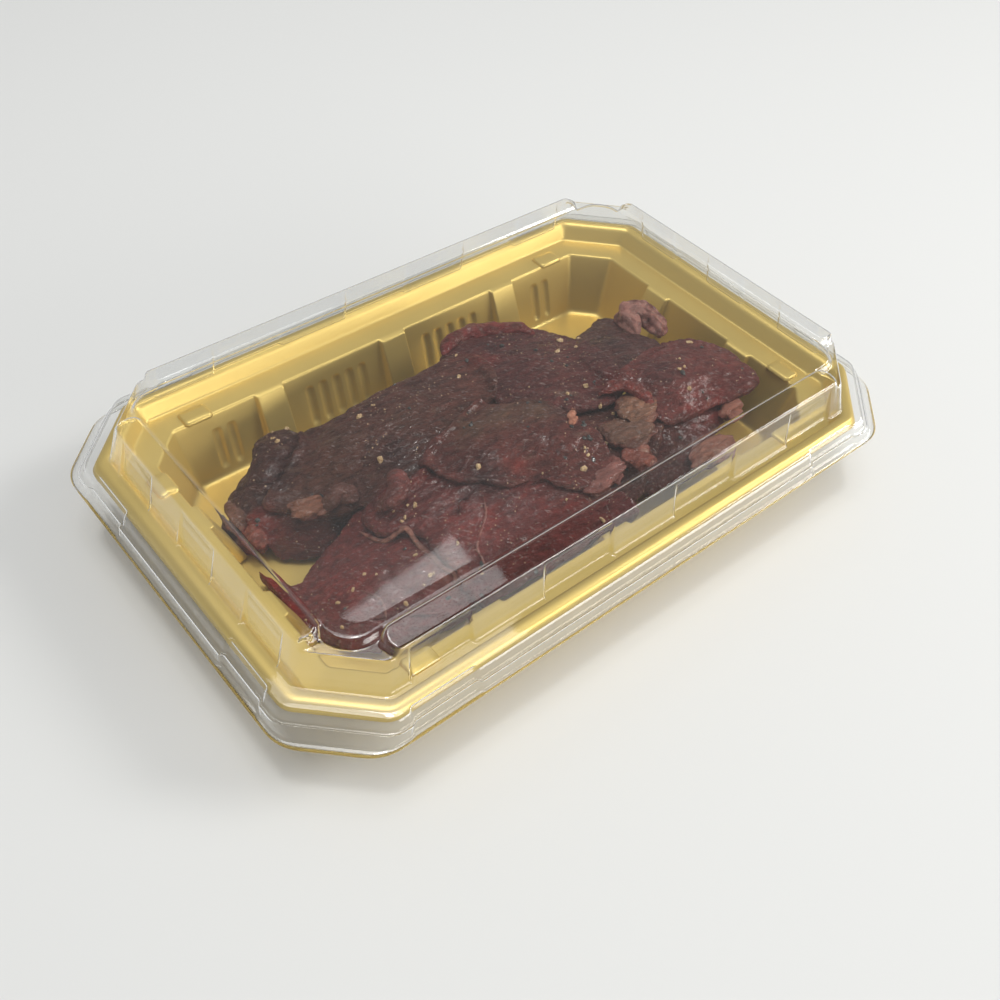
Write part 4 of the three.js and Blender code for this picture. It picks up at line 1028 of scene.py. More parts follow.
# %% List the colour patches
GREY_GREEN, GREY_BROWN = (104, 92, 76), (96, 76, 66)
DARK, RED, DEEP_RED, PINK = (58, 40, 42), (126, 60, 56), (96, 24, 24), (98, 62, 58)
# x, y, radius, colour
PATCHES = [
    (7.2, -8.3, 6, GREY_GREEN), (-11.4, -2.4, 6, GREY_GREEN), (-2.0, -4.5, 7, GREY_GREEN),
    (53.8, 13.7, 6, GREY_BROWN), (-76.0, -1.0, 5, (150, 58, 42)), (-76.5, -11.0, 5, (136, 46, 36)),
    (-40.0, 19.1, 8, GREY_BROWN), (-56.9, 13.7, 7, GREY_BROWN), (-23.1, 14.2, 6, GREY_BROWN),
    (-47.0, 12.0, 7, GREY_BROWN), (-38.9, -5.1, 4, (128, 60, 56)), (-32.5, 3.7, 6, DARK),
    (10.8, 20.6, 5, RED), (26.2, 2.4, 6, (104, 68, 64)), (49.5, -15.8, 6, (82, 52, 54)),
    (73.9, -24.6, 5, (118, 66, 62)), (52.3, -30.1, 6, RED), (60.0, -31.5, 5, RED),
    (-30.5, -26.5, 8, (128, 58, 54)), (-6.8, -35.1, 8, (118, 54, 50)), (-61.7, -15.2, 9, (128, 60, 58)),
    (-50.8, 31.1, 6, (74, 54, 52)), (-57.8, 22.8, 6, (66, 48, 48)), (-71.4, 14.2, 5, (150, 66, 56)),
    (-52.8, 5.5, 4, (122, 82, 66)), (-52.7, 3.7, 3, DARK), (-20.5, -18.2, 6, DARK),
    (-8.9, -20.8, 3, (126, 62, 56)), (-4.0, -31.6, 4, PINK), (17.1, 23.6, 3, DARK),
    (33.0, -12.0, 4, RED), (26.0, 6.0, 7, (98, 64, 62)), (50.3, 5.6, 7, (72, 54, 54)),
    (-57.5, -41.1, 5, DEEP_RED), (-14.9, -45.5, 5, DEEP_RED), (14.1, -45.9, 5, DEEP_RED),
    (-36.0, -41.0, 5, DEEP_RED), (-42.5, -33.0, 4, (150, 104, 92)),
    (-43.5, -27.0, 3, (134, 84, 76)), (-24.0, -28.0, 5, (132, 62, 58)),
]
print(len(SLICES), "slices,", len(ROLLS), "rolls,", len(LUMPS), "lumps,", len(PATCHES), "patches")

# %% [markdown]
# ## Noise and the pile
# Two helpers come first. A seeded value noise gives the same uneven numbers on every run. The
# pile is a grid of heights seen from above: it starts as the empty tray and rises with each
# slice, so the next slice knows what it lies on.

# %% Make the noise and the pile
def lattice(cell, seed):
    """An unordered but repeatable number from -1 to 1 for each whole place."""
    mixed = cell @ np.array((374761393, 668265263, 1440662683)) + seed * 69069
    mixed = (mixed ^ (mixed >> 13)) * 1274126177
    return ((mixed ^ (mixed >> 16)) & 0xFFFF) / 32767.5 - 1


def smooth_noise(points, size, seed):
    """Value noise from -1 to 1 with features about size millimetres wide."""
    place = np.asarray(points, float) / size
    if place.shape[-1] == 2:
        place = np.concatenate([place, np.zeros((*place.shape[:-1], 1))], axis=-1)
    cell = np.floor(place).astype(np.int64)
    part = place - cell
    part = part * part * (3 - 2 * part)
    total = 0
    for corner in range(8):
        step = np.array((corner & 1, corner >> 1 & 1, corner >> 2 & 1))
        share = np.prod(np.where(step == 1, part, 1 - part), axis=-1)
        total = total + share * lattice(cell + step, seed)
    return total


GRID = 0.5
PILE_X = np.arange(-84, 84 + GRID, GRID)
PILE_Y = np.arange(-52, 52 + GRID, GRID)
WALL_LEAN = 5.3 / 19.7
WALL_CLEAR = 1.5
FLOOR_TOP = 0.6


def tray_height(x, y):
    """Height of the tray's inner face, with the pilasters taken as solid wall."""
    over_x = np.abs(x) - TRAY_BENDS[1][0] + WALL_CLEAR
    over_y = np.abs(y) - TRAY_BENDS[1][1] + WALL_CLEAR
    corner = (over_x + over_y + FLOOR_CHAMFER - WALL_CLEAR) * 0.7
    over = np.maximum(np.maximum(over_x, over_y), np.maximum(corner, 0))
    return FLOOR_TOP + over / WALL_LEAN


PILE_PLACES = np.stack(np.meshgrid(PILE_X, PILE_Y, indexing="ij"), axis=-1)
pile = tray_height(PILE_PLACES[..., 0], PILE_PLACES[..., 1])


def spread_pile(heights, reach):
    """Highest value within reach cells, then softened over the same distance."""
    for axis in (0, 1):
        heights = np.max([np.roll(heights, k, axis) for k in range(-reach, reach + 1)], axis=0)
    for axis in (0, 1, 0, 1):
        heights = np.mean([np.roll(heights, k, axis) for k in range(-reach, reach + 1)], axis=0)
    return heights


def look_up(heights, x, y):
    """Height between the grid's points."""
    u = np.clip((x - PILE_X[0]) / GRID, 0, len(PILE_X) - 1.001)
    v = np.clip((y - PILE_Y[0]) / GRID, 0, len(PILE_Y) - 1.001)
    i, j = u.astype(int), v.astype(int)
    a, b = u - i, v - j
    return ((heights[i, j] * (1 - a) + heights[i + 1, j] * a) * (1 - b)
            + (heights[i, j + 1] * (1 - a) + heights[i + 1, j + 1] * a) * b)


print("pile grid", pile.shape)

# %% [markdown]
# ## One slice
# The edge is a smooth closed curve. Spokes run to it from a middle point that sees all of it,
# and rings of points follow. Heights come from a thin plate through the edge and crown points,
# which is how a limp slice drapes, but never below what it lies on. The rim is rounded.

# %% Shape one slice
SLICE_EDGE = 2.6
SLICE_SWELL = 1.1
SLICE_CLEAR = 0.5
SLICE_LEAST = 1.2
SLICE_STEP = 0.55
RIM_ROUND = 1.5


def smooth_loop(points, count, closed=True, steps=12):
    """Catmull-Rom curve through points, sampled evenly along its length."""
    pts = np.asarray(points, float)
    ends = len(pts) if closed else len(pts) - 1
    t = np.linspace(0, 1, steps, endpoint=False)[:, None]
    line = []
    for i in range(ends):
        near = np.arange(i - 1, i + 3)
        near = near % len(pts) if closed else np.clip(near, 0, len(pts) - 1)
        a, b, c, d = pts[near]
        bend = t * (2 * a - 5 * b + 4 * c - d + t * (3 * b - a - 3 * c + d))
        line.append(b + 0.5 * t * (c - a + bend))
    line = np.vstack([*line, pts[:1] if closed else pts[-1:]])
    length = np.r_[0, np.cumsum(np.linalg.norm(np.diff(line, axis=0), axis=1))]
    want = np.linspace(0, length[-1], count, endpoint=not closed)
    return np.stack([np.interp(want, length, line[:, k]) for k in range(line.shape[1])], axis=1)


def thin_plate(points):
    """Smooth height through scattered points, as a limp sheet takes it."""
    pts = np.asarray(points, float)

    def kernel(gap):
        return np.where(gap < 1e-9, 0, 0.5 * gap * np.log(np.maximum(gap, 1e-9)))

    count = len(pts)
    gaps = ((pts[:, None, :2] - pts[None, :, :2]) ** 2).sum(-1)
    rows = np.zeros((count + 3, count + 3))
    rows[:count, :count] = kernel(gaps) + 6 * np.eye(count)
    rows[:count, count:] = np.c_[np.ones(count), pts[:, :2]]
    rows[count:, :count] = rows[:count, count:].T
    weight = np.linalg.solve(rows, np.r_[pts[:, 2], 0, 0, 0])

    def height(x, y):
        gap = (x[..., None] - pts[:, 0]) ** 2 + (y[..., None] - pts[:, 1]) ** 2
        level, slope_x, slope_y = weight[count:]
        return kernel(gap) @ weight[:count] + level + slope_x * x + slope_y * y

    return height


def middle_of(edge):
    """The point that sees the whole edge from as far as can be."""
    side = np.roll(edge, -1, axis=0) - edge
    side /= np.linalg.norm(side, axis=1)[:, None]
    low, high = edge.min(0), edge.max(0)
    best, best_clear = None, -1e9
    for i in range(1, 32):
        for j in range(1, 32):
            place = low + (high - low) * (i / 32, j / 32)
            clear = side[:, 0] * (place - edge)[:, 1] - side[:, 1] * (place - edge)[:, 0]
            clear = clear.min() if clear.mean() > 0 else (-clear).min()
            if clear > best_clear:
                best, best_clear = place, clear
    return best


def inside_of(edge, places):
    """Which places lie inside a closed edge."""
    x, y = places[..., 0], places[..., 1]
    odd = np.zeros(x.shape, bool)
    for (ax, ay), (bx, by) in zip(edge, np.roll(edge, -1, axis=0)):
        if ay != by:
            odd ^= ((ay > y) != (by > y)) & (x < (bx - ax) * (y - ay) / (by - ay) + ax)
    return odd


def soft_max(a, b, width):
    """The larger of two heights, with a smooth change where they are nearly alike."""
    blend = (a + b) / 2 + (width ** 2 + (a - b) ** 2) / (4 * width)
    return np.where(np.abs(a - b) < width, blend, np.maximum(a, b))


def slice_points(edge, crown, seed):
    """Rings of points over the top, round the rim and under a slice; also raises the pile."""
    global pile
    rough = smooth_loop(np.asarray(edge)[:, :2], 40)
    around = np.linalg.norm(np.roll(rough, -1, axis=0) - rough, axis=1).sum()
    spokes = int(around / SLICE_STEP)
    rim = smooth_loop(np.asarray(edge)[:, :2], spokes)
    ahead = np.roll(rim, -2, axis=0) - np.roll(rim, 2, axis=0)
    outward = np.stack([ahead[:, 1], -ahead[:, 0]], axis=1) / np.linalg.norm(ahead, axis=1)[:, None]
    ragged = 0.55 * smooth_noise(rim, 4.2, seed) + 0.28 * smooth_noise(rim, 1.7, seed + 7)
    rim = rim + outward * ragged[:, None]
    middle = middle_of(rough)
    plate = thin_plate([*edge, *crown])
    support = spread_pile(pile, 3)

    def top(x, y):
        return soft_max(plate(x, y), look_up(support, x, y) + SLICE_CLEAR + SLICE_LEAST, 1.2)

    reach = np.linalg.norm(rim - middle, axis=1)
    rings = []
    count = max(14, int(reach.mean() / SLICE_STEP))
    for t in np.linspace(0.03, 1, count):
        rings.append((t * (1 - RIM_ROUND / reach), None))
    for angle in np.linspace(0, math.pi, 10)[1:]:
        rings.append((1 - RIM_ROUND * (1 - math.sin(angle)) / reach, math.cos(angle)))
    for t in np.linspace(0.85, 0.05, 7):
        rings.append((t * (1 - RIM_ROUND / reach), -1.0))
    points = []
    for share, level in rings:
        place = middle + (rim - middle) * share[:, None]
        x, y = place[:, 0], place[:, 1]
        h = top(x, y)
        thick = SLICE_EDGE + SLICE_SWELL * (1 - share) * reach
        low = np.clip(h - thick, look_up(pile, x, y) + SLICE_CLEAR * 0.4, h - 1.0)
        z = h if level is None else (h + low) / 2 + (h - low) / 2 * level
        points.append(np.c_[place, z])
    cells = inside_of(rim, PILE_PLACES)
    pile = np.where(cells, np.maximum(pile, top(PILE_PLACES[..., 0], PILE_PLACES[..., 1])), pile)
    return np.vstack(points), len(rings), spokes


# %% [markdown]
# ## Colour of every vertex
# The colours above are written as the eye sees them, from 0 to 255. The shader wants linear
# light, so they are converted once. DEPTH takes out the grey that gloss adds again in the render.

# %% Blend the tints
def linear(colour):
    value = np.asarray(colour, float) / 255
    return np.where(value <= 0.04045, value / 12.92, ((value + 0.055) / 1.055) ** 2.4)


DEPTH = np.array((1.0, 0.66, 0.58))
FAT_DEPTH = np.array((0.95, 0.80, 0.74))
# the lean meat that shows between strands of fat
UNDER_FAT = (104, 64, 58)


def tint_of(points, colour, seed, blend=0.85, depth=DEPTH):
    """Own colour with slow drifts, blended towards the patches near by."""
    drift = smooth_noise(points, 9.0, seed)[:, None]
    tint = linear(colour) * (1 + 0.16 * drift * (1.0, 0.7, 0.7)) * depth
    wander = [smooth_noise(points, 3.0, seed + 3), smooth_noise(points, 3.0, seed + 4)]
    places = points[:, :2] + 1.6 * np.stack(wander, axis=1)
    for x, y, radius, shade in PATCHES:
        away = ((places - (x, y)) ** 2).sum(axis=1)
        near = np.exp(-away / (0.72 * radius ** 2))[:, None]
        tint = tint + (linear(shade) * depth - tint) * near * blend
    return np.clip(tint, 0.002, 1)


def store_tint(mesh, points, colour, seed, blend=0.85, depth=DEPTH, shown=None):
    tint = tint_of(points, colour, seed, blend, depth)
    if shown is not None:
        under = tint_of(points, UNDER_FAT, seed)
        tint = under + (tint - under) * shown[:, None]
    store(mesh, "tint", np.c_[tint, np.ones(len(tint))], "FLOAT_COLOR")


# %% [markdown]
# ## Relief of meat
# Muscle is made of bundles that run one way, with shallow creases between them, on top of a slow
# waviness. This follows a rule, so Geometry Nodes push the surface along its normal by stretched
# noise. The grain's direction, widths and depths are inputs of the tree.

# %% Build the relief tree
def turn_flat(tree, places, angle):
    """Places turned about the upright axis."""
    return add_node(tree, "ShaderNodeVectorRotate", {
        "Vector": places, "Angle": angle}, rotation_type="Z_AXIS").outputs[0]


def noise_height(tree, places, size, detail, roughness=0.5):
    """Noise from about -0.5 to 0.5 with features of the given size in millimetres."""
    scaled = add_node(tree, "ShaderNodeVectorMath", {
        0: places, 1: [1 / (v * MM) for v in size]}, operation="MULTIPLY")
    noise = noise_node(tree, scaled.outputs[0], 1.0, detail, roughness)
    return math_node(tree, "SUBTRACT", noise, 0.5)


def relief_tree():
    tree, source, result = new_tree("meat_relief", {
        "Grain angle": 0.0, "Bundle depth": 0.65, "Crease depth": 0.22, "Wave depth": 1.3,
        "Fine depth": 0.85})
    inputs = source.outputs
    calc = partial(math_node, tree)
    place = add_node(tree, "GeometryNodeInputPosition").outputs[0]
    grain = turn_flat(tree, place, inputs["Grain angle"])
    bundles = noise_height(tree, grain, (13.0, 3.0, 3.6), 2.0)
    crease = noise_height(tree, grain, (19.0, 5.2, 6.0), 1.0)
    waves = noise_height(tree, place, (11.0, 11.0, 11.0), 1.0)
    fine = noise_height(tree, grain, (3.0, 1.5, 1.5), 3.0, 0.62)
    sharp = calc("SUBTRACT", 1.0, calc("MULTIPLY", calc("ABSOLUTE", crease), 14.0))
    sharp = calc("MAXIMUM", sharp, 0.0)
    total = calc("MULTIPLY", bundles, inputs["Bundle depth"])
    total = calc("ADD", total, calc("MULTIPLY", waves, inputs["Wave depth"]))
    total = calc("ADD", total, calc("MULTIPLY", fine, inputs["Fine depth"]))
    total = calc("SUBTRACT", total, calc("MULTIPLY", sharp, inputs["Crease depth"]))
    normal = add_node(tree, "GeometryNodeInputNormal").outputs[0]
    plug(tree, result.inputs[0], push_points(tree, inputs["Geometry"], normal, total))
    return tree


RELIEF = relief_tree()

# %% [markdown]
# ## Wet meat
# Lean meat is dark, a little translucent and wet. Base Color is the stored tint with fine
# streaks along the grain and fine pale flecks, which are partly pale fibre and partly painted
# glints. A thin clear coat over a rough base gives the small sharp glints, and a bump of the same
# streaks breaks them up.

# %% Make the meat materials
def streak_group():
    group, source, result = effect_group(
        "streaks", {"Angle": 0.0, "Scale": 500.0, "Stretch": 0.2}, "Value")
    turned = turn_flat(group, object_place(group), source.outputs["Angle"])
    shape = add_node(group, "ShaderNodeCombineXYZ", {0: source.outputs["Stretch"], 1: 1.0, 2: 1.0})
    squeezed = add_node(group, "ShaderNodeVectorMath", {
        0: turned, 1: shape.outputs[0]}, operation="MULTIPLY")
    noise = noise_node(group, squeezed.outputs[0], source.outputs["Scale"], 5.0, 0.62)
    plug(group, result.inputs[0], noise)
    return group


STREAKS = streak_group()


def mix_colour(tree, factor, first, second, blend="MIX"):
    """Inputs 0, 6 and 7 of a Mix node are its factor and its two colours."""
    node = add_node(
        tree, "ShaderNodeMix", {0: factor, 6: first, 7: second}, data_type="RGBA", blend_type=blend)
    return node.outputs[2]


# Pale colour of the fine flecks: partly pale fibre, partly painted glints of the wet surface.
FIBRE_AND_GLINT_FLECK = (0.44, 0.34, 0.32, 1)


def meat_material(name, pale, streak_depth, bump, gloss):
    """Streaks darken the tint by streak_depth, and flecks of the pale colour lie between."""
    material, tree, shade = simple_material(name)
    tint = add_node(tree, "ShaderNodeAttribute", attribute_name="tint")
    streak = use_group(tree, STREAKS, Angle=0.2, Scale=620.0, Stretch=0.35)
    dark = map_range(tree, streak, 0.35, 0.65, 1 - streak_depth, 1 + streak_depth * 0.6)
    grey = add_node(tree, "ShaderNodeCombineXYZ", {0: dark, 1: dark, 2: dark})
    colour = mix_colour(tree, 1.0, tint.outputs["Color"], grey.outputs[0], "MULTIPLY")
    fleck = use_group(tree, STREAKS, Angle=0.7, Scale=240.0, Stretch=0.35)
    colour = mix_colour(tree, map_range(tree, fleck, 0.60, 0.72, 0.0, 0.45), colour, pale)
    # Fine pale flecks in clusters. They are partly pale fibre and partly painted glints of the wet
    # surface.
    fine = use_group(tree, STREAKS, Angle=0.9, Scale=1300.0, Stretch=0.4)
    fine = map_range(tree, fine, 0.575, 0.67, 0.0, 0.62)
    where = use_group(tree, UNEVEN, Scale=150.0, Low=0.15, High=1.0)
    colour = mix_colour(tree, math_node(tree, "MULTIPLY", fine, where), colour, FIBRE_AND_GLINT_FLECK)
    plug(tree, shade.inputs["Base Color"], colour)
    rough = use_group(tree, UNEVEN, Scale=320.0, Low=gloss[0], High=gloss[1])
    plug(tree, shade.inputs["Roughness"], rough)
    shade.inputs["Subsurface Weight"].default_value = 0.12
    shade.inputs["Subsurface Radius"].default_value = (1.0, 0.35, 0.25)
    shade.inputs["Subsurface Scale"].default_value = 0.0012
    shade.inputs["IOR"].default_value = 1.3
    shade.inputs["Coat Weight"].default_value = 0.3
    shade.inputs["Coat Roughness"].default_value = 0.10
    shade.inputs["Coat IOR"].default_value = 1.36
    fibre = use_group(tree, STREAKS, Angle=0.2, Scale=1000.0, Stretch=0.6)
    add_bump(tree, shade, fibre, bump, 0.9)
    return material


# name, colour of sinew and fat flecks, depth of the streaks, bump, roughness from and to
MEATS = {
    "meat_brown": meat_material("wet_brown_meat", (0.20, 0.125, 0.09, 1), 0.45, 0.0026, (0.50, 0.72)),
    "meat_red": meat_material("wet_red_meat", (0.27, 0.12, 0.10, 1), 0.42, 0.0025, (0.48, 0.70)),
    "meat_fat": meat_material("moist_fat", (0.55, 0.38, 0.29, 1), 0.28, 0.0016, (0.46, 0.66)),
}
SLOTS = {entry["node"]: entry["material_slot"] for entry in frame["record"]["subparts"]}


def finish_meat(piece, node, relief):
    """Relief, material, body and slot of one piece of meat."""
    fix_normals(piece)
    piece = run_tree(piece, RELIEF, relief)
    piece.data.materials.clear()
    piece.data.materials.append(MEATS[SLOTS[node]])
    piece.data.polygons.foreach_set("use_smooth", np.ones(len(piece.data.polygons), bool))
    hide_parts(node)
    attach(piece, "root")
    return piece


# %% Lay the slices
for seed, (node, (edge, crown, grain, colour)) in enumerate(SLICES.items()):
    points, rings, spokes = slice_points(edge, crown, seed + 1)
    faces = ring_faces(rings, spokes)
    faces.append(list(range(spokes)))
    faces.append([(rings - 1) * spokes + k for k in range(spokes)])
    mesh = make_mesh("seasoned_" + node, points, faces)
    store_tint(mesh, points, colour, seed)
    relief = {"Grain angle": math.radians(grain)}
    piece = finish_meat(link_piece("seasoned_" + node, mesh), node, relief)
    print(piece.name, len(piece.data.polygons), "faces")

# %% [markdown]
# ## Rolls and lumps
# A roll is a tube swept along its path with uneven thickness and closed ends. A lump starts as a
# subdivided ball, is stretched to its half sizes and dented by noise. Both get the same relief.

# %% Shape the rolls and lumps
STRANDS = {"gristle_back": 4, "fold_left": 2, "curl_red": 2}
LUMP_SPREAD = (1.24, 1.20, 0.82)
LUMP_SINK = 1.0


def roll_mesh(name, path, radius, colour, seed, strands=0, flat=0.8):
    """A closed tube along a path; strands above 1 make it look twisted from several."""
    sides, steps = 56, 110
    line = smooth_loop(path, steps, closed=False)
    along = np.gradient(line, axis=0)
    along /= np.linalg.norm(along, axis=1)[:, None]
    side = np.c_[-along[:, 1], along[:, 0], np.zeros(steps)]
    side /= np.linalg.norm(side, axis=1)[:, None]
    up = -np.cross(side, along)
    t = np.linspace(0, 1, steps)
    swell = np.clip(1 - np.abs(2 * t - 1) ** 3.2, 0.0004, 1) ** 0.6
    swell = swell * (1 + 0.22 * smooth_noise(line, 5.0, seed))
    turn = np.linspace(0, 2 * math.pi, sides, endpoint=False)[:, None]
    ring = np.cos(turn) * side[:, None] + flat * np.sin(turn) * up[:, None]
    points = (line[:, None] + ring * (radius * swell)[:, None, None])
    uneven = 1 + 0.13 * smooth_noise(points, 2.6, seed + 2) + 0.07 * smooth_noise(points, 1.1, seed + 3)
    if strands > 1:
        uneven = uneven + 0.17 * np.cos(strands * turn[:, 0] + 7.0 * t[:, None])
    points = (line[:, None] + (points - line[:, None]) * uneven[..., None]).reshape(-1, 3)
    faces = ring_faces(steps, sides)
    faces.append(list(range(sides)))
    faces.append([(steps - 1) * sides + k for k in range(sides)])
    mesh = make_mesh(name, points, faces)
    shown = None if strands == 2 else step_between(smooth_noise(points, 1.7, seed + 6), -0.75, 0.15)
    store_tint(mesh, points, colour, seed, 0.15, FAT_DEPTH, shown)
    return mesh


def lump_mesh(name, middle, half, turn, colour, seed):
    """A dented ball; fat shows on its top and lean meat below."""
    ball = bmesh.new()
    bmesh.ops.create_icosphere(ball, subdivisions=5, radius=1.0)
    shape = np.array([v.co[:] for v in ball.verts])
    faces = [[v.index for v in face.verts] for face in ball.faces]
    ball.free()
    dent = 1 + 0.34 * smooth_noise(shape, 1.1, seed) + 0.13 * smooth_noise(shape, 0.5, seed + 5)
    dent = dent + 0.16 * (np.abs(smooth_noise(shape, 0.55, seed + 9)) - 0.3)
    shown = step_between(shape[:, 2] + 0.35 * smooth_noise(shape, 0.45, seed + 7), -0.25, 0.55)
    shape = shape * dent[:, None] * half * LUMP_SPREAD
    angle = math.radians(turn)
    points = np.c_[shape[:, 0] * math.cos(angle) - shape[:, 1] * math.sin(angle),
                   shape[:, 0] * math.sin(angle) + shape[:, 1] * math.cos(angle), shape[:, 2]] + middle
    points[:, 2] -= LUMP_SINK
    mesh = make_mesh(name, points, faces)
    store_tint(mesh, points, colour, seed, 0.1, FAT_DEPTH, shown)
    return mesh


for seed, (node, (path, radius, colour)) in enumerate(ROLLS.items()):
    mesh = roll_mesh("seasoned_" + node, path, radius, colour, seed + 31, STRANDS.get(node, 0))
    finish_meat(link_piece(mesh.name, mesh), node, {"Wave depth": 1.2, "Fine depth": 0.5})
for seed, (node, (middle, half, turn, colour)) in enumerate(LUMPS.items()):
    mesh = lump_mesh("seasoned_" + node, middle, half, turn, colour, seed + 51)
    relief = {"Wave depth": 1.3, "Bundle depth": 0.6, "Crease depth": 0.8}
    finish_meat(link_piece(mesh.name, mesh), node, relief)
print("rolls and lumps ready")

# %% [markdown]
# ## The surface that shows
# Crumbs and sinew lie on whatever meat is on top. The faces of all slices that look up and are
# not covered by another slice are gathered in one helper mesh. A BVH tree of it answers where the
# surface is under any point seen from above.

# %% Gather the visible meat
def visible_meat():
    points, faces, start = [], [], 0
    for node in SLICES:
        mesh = bpy.data.objects["seasoned_" + node].data
        place = np.empty(len(mesh.vertices) * 3)
        mesh.vertices.foreach_get("co", place)
        place = place.reshape(-1, 3) / MM
        normal = np.empty(len(mesh.polygons) * 3)
        mesh.polygons.foreach_get("normal", normal)
        middle = np.empty(len(mesh.polygons) * 3)
        mesh.polygons.foreach_get("center", middle)
        normal, middle = normal.reshape(-1, 3), middle.reshape(-1, 3) / MM
        top = look_up(pile, middle[:, 0], middle[:, 1])
        for face, up, z, highest in zip(mesh.polygons, normal[:, 2], middle[:, 2], top):
            if up > 0.45 and z > highest - 1.3:
                faces.append([start + v for v in face.vertices])
        points.append(place)
        start += len(place)
    return np.vstack(points), faces


shown_points, shown_faces = visible_meat()
shown_tree = BVHTree.FromPolygons(shown_points.tolist(), shown_faces)


def surface_height(x, y):
    return shown_tree.ray_cast(Vector((x, y, 60.0)), Vector((0, 0, -1)))[0].z


print("visible meat:", len(shown_faces), "faces")

# %% [markdown]
# ## Sinew
# Pale strings of sinew lie folded on the red slices. Each is a thin uneven tube laid along a few
# chosen places, at the height that the surface has there.

# %% Lay the sinew
# name: radius, colour, path seen from above
SINEWS = {
    "sinew_long": (0.8, (160, 118, 106), [
        (-50.5, -4.3), (-49.5, -9.4), (-47.7, -12.8), (-42.8, -14.9), (-42.1, -19.6), (-41.8, -25.2),
        (-41.6, -29.6), (-40.5, -33.6), (-43.5, -35.1)]),
    "sinew_thin": (0.34, (150, 108, 100), [
        (-21.5, -20.5), (-24.2, -25.5), (-28.0, -28.5), (-32.1, -31.8), (-33.0, -35.5), (-34.2, -38.6)]),
    "sinew_side": (0.34, (140, 98, 90), [(-61.0, -20.0), (-58.5, -26.0), (-60.5, -31.0)]),
}
for seed, (name, (radius, colour, places)) in enumerate(SINEWS.items()):
    path = [(x, y, surface_height(x, y) + radius * 0.35) for x, y in places]
    mesh = roll_mesh(name, path, radius, colour, seed + 81, flat=0.7)
    sinew = link_piece(name, mesh)
    fix_normals(sinew)
    sinew.data.materials.append(MEATS["meat_fat"])
    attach(sinew, "root")
print(len(SINEWS), "sinews")

# %% [markdown]
# ## Seasoning
# Crumbs of garlic, cracked pepper and fine pale specks stick to the wet meat. Geometry Nodes
# scatter each kind over the visible surface: points on faces, a small ball on each, realized and
# dented by noise so that no two are alike. Density, sizes and seed are inputs.

# %% Build the scatter tree
def random_value(tree, kind, low, high, seed):
    node = add_node(tree, "FunctionNodeRandomValue", data_type=kind)
    least, most = [socket for socket in node.inputs if socket.enabled][:2]
    plug(tree, least, low)
    plug(tree, most, high)
    plug(tree, [socket for socket in node.inputs if socket.name == "Seed"][0], seed)
    return [socket for socket in node.outputs if socket.enabled][0]


def scatter_tree(name, material, subdivisions, per_area, least, most, seed, dent, squash):
    tree, source, result = new_tree(name, {
        "Density": per_area, "Smallest": least, "Largest": most, "Dent": dent})
    inputs = source.outputs
    local = math_node(tree, "MULTIPLY", inputs["Density"], read_attribute(tree, "amount"))
    spread = add_node(tree, "GeometryNodeDistributePointsOnFaces", {
        "Mesh": inputs["Geometry"], "Density": local, "Seed": seed})
    ball = add_node(tree, "GeometryNodeMeshIcoSphere", {
        "Radius": 0.5 * MM, "Subdivisions": subdivisions})
    size = random_value(tree, "FLOAT", inputs["Smallest"], inputs["Largest"], seed + 1)
    shape = random_value(
        tree, "FLOAT_VECTOR", (0.75, 0.6, squash), (1.25, 1.0, squash * 1.3), seed + 2)
    grown = add_node(tree, "ShaderNodeVectorMath", {0: shape, "Scale": size}, operation="SCALE")
    turn = random_value(tree, "FLOAT_VECTOR", (-0.4, -0.4, 0.0), (0.4, 0.4, 6.28), seed + 3)
    spin = add_node(tree, "FunctionNodeRotateEuler", {
        "Rotation": spread.outputs["Rotation"], "Rotate By": turn}, space="LOCAL")
    place = add_node(tree, "GeometryNodeInstanceOnPoints", {
        "Points": spread.outputs["Points"], "Instance": ball.outputs["Mesh"],
        "Rotation": spin.outputs[0], "Scale": grown.outputs[0]})
    real = add_node(tree, "GeometryNodeRealizeInstances", {0: place.outputs[0]})
    position = add_node(tree, "GeometryNodeInputPosition").outputs[0]
    bumps = noise_height(tree, position, (0.7, 0.7, 0.7), 2.0)
    normal = add_node(tree, "GeometryNodeInputNormal").outputs[0]
    dents = math_node(tree, "MULTIPLY", bumps, inputs["Dent"])
    moved = push_points(tree, real.outputs[0], normal, dents)
    plug(tree, result.inputs[0], paint_points(tree, moved, material))
    return tree


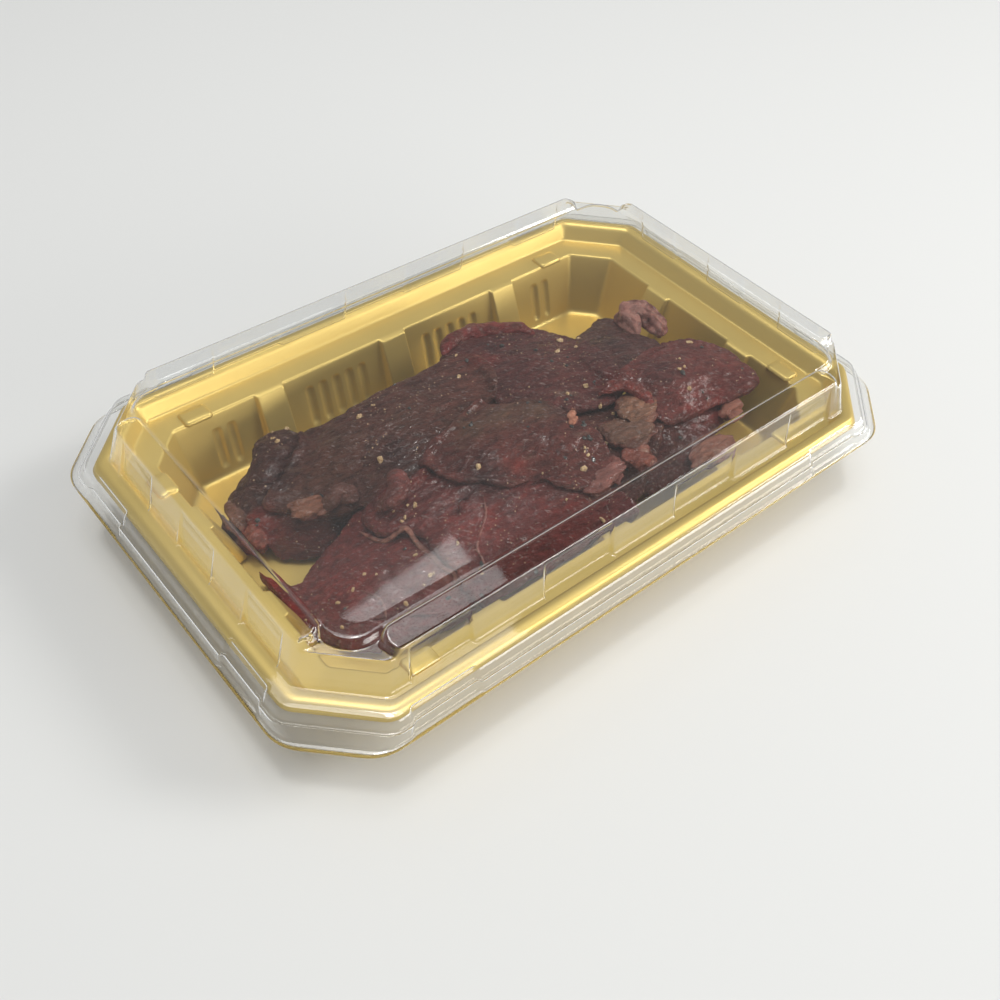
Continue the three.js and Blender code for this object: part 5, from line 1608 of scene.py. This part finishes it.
def grain_material(name, light, dark):
    material, tree, shade = simple_material(name)
    mask = use_group(tree, UNEVEN, Scale=700.0, Low=0.0, High=1.0)
    colour = mix_colour(tree, mask, (*linear(dark), 1), (*linear(light), 1))
    plug(tree, shade.inputs["Base Color"], colour)
    shade.inputs["Roughness"].default_value = 0.45
    shade.inputs["Coat Weight"].default_value = 0.5
    shade.inputs["Coat Roughness"].default_value = 0.1
    add_bump(tree, shade, use_group(tree, RIPPLE, Scale=2500.0, Roughness=0.6), 0.0001, 0.6)
    return material


# %% Scatter the seasoning
PEPPER_PLACES = [
    (7.5, -7.0), (-9.5, 0.5), (17.1, 23.6), (44.0, -32.0), (-52.0, 8.0), (-71.0, 18.0),
    (-33.0, -36.0), (-22.0, 14.0), (12.0, -20.0), (58.0, -28.0), (-44.0, -34.0), (30.0, -8.0),
]


def amount_at(name, points):
    """How thickly a kind lies at each point, from 0 up."""
    clumps = np.clip(0.5 + 1.6 * smooth_noise(points, 9.0, 91), 0, 2.5)
    if name != "cracked_pepper":
        return clumps
    near = [np.exp(-((points[:, 0] - x) ** 2 + (points[:, 1] - y) ** 2) / 5.0) for x, y in PEPPER_PLACES]
    return 0.25 * clumps + 9.0 * np.max(near, axis=0)


SEASONING = {
    # name: light colour, dark colour, subdivisions, points per square metre, smallest, largest,
    # seed, depth of the dents, flatness
    "garlic_crumbs": ((206, 178, 134), (172, 138, 98), 3, 8000, 0.5, 1.9, 5, 1.3, 0.6),
    "cracked_pepper": ((58, 56, 52), (22, 22, 22), 2, 14000, 0.6, 2.0, 17, 0.8, 0.5),
    "pale_specks": ((196, 162, 126), (150, 116, 92), 1, 90000, 0.22, 0.62, 29, 0.1, 0.45),
}
for name, (light, dark, steps, density, least, most, seed, dent, squash) in SEASONING.items():
    ground = make_mesh(name, shown_points, shown_faces)
    store(ground, "amount", amount_at(name, shown_points))
    grains = link_piece(name, ground)
    grains = run_tree(grains, scatter_tree(
        "scatter_" + name, grain_material(name, light, dark),
        steps, density, least, most, seed, dent, squash))
    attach(grains, "root")
    print(name, len(grains.data.polygons), "faces")

# %% [markdown]
# ## Close
# A helper turns a box into plain lists of numbers.

# %% A helper for box sizes
def plain(box):
    return [[float(v) for v in corner] for corner in box]
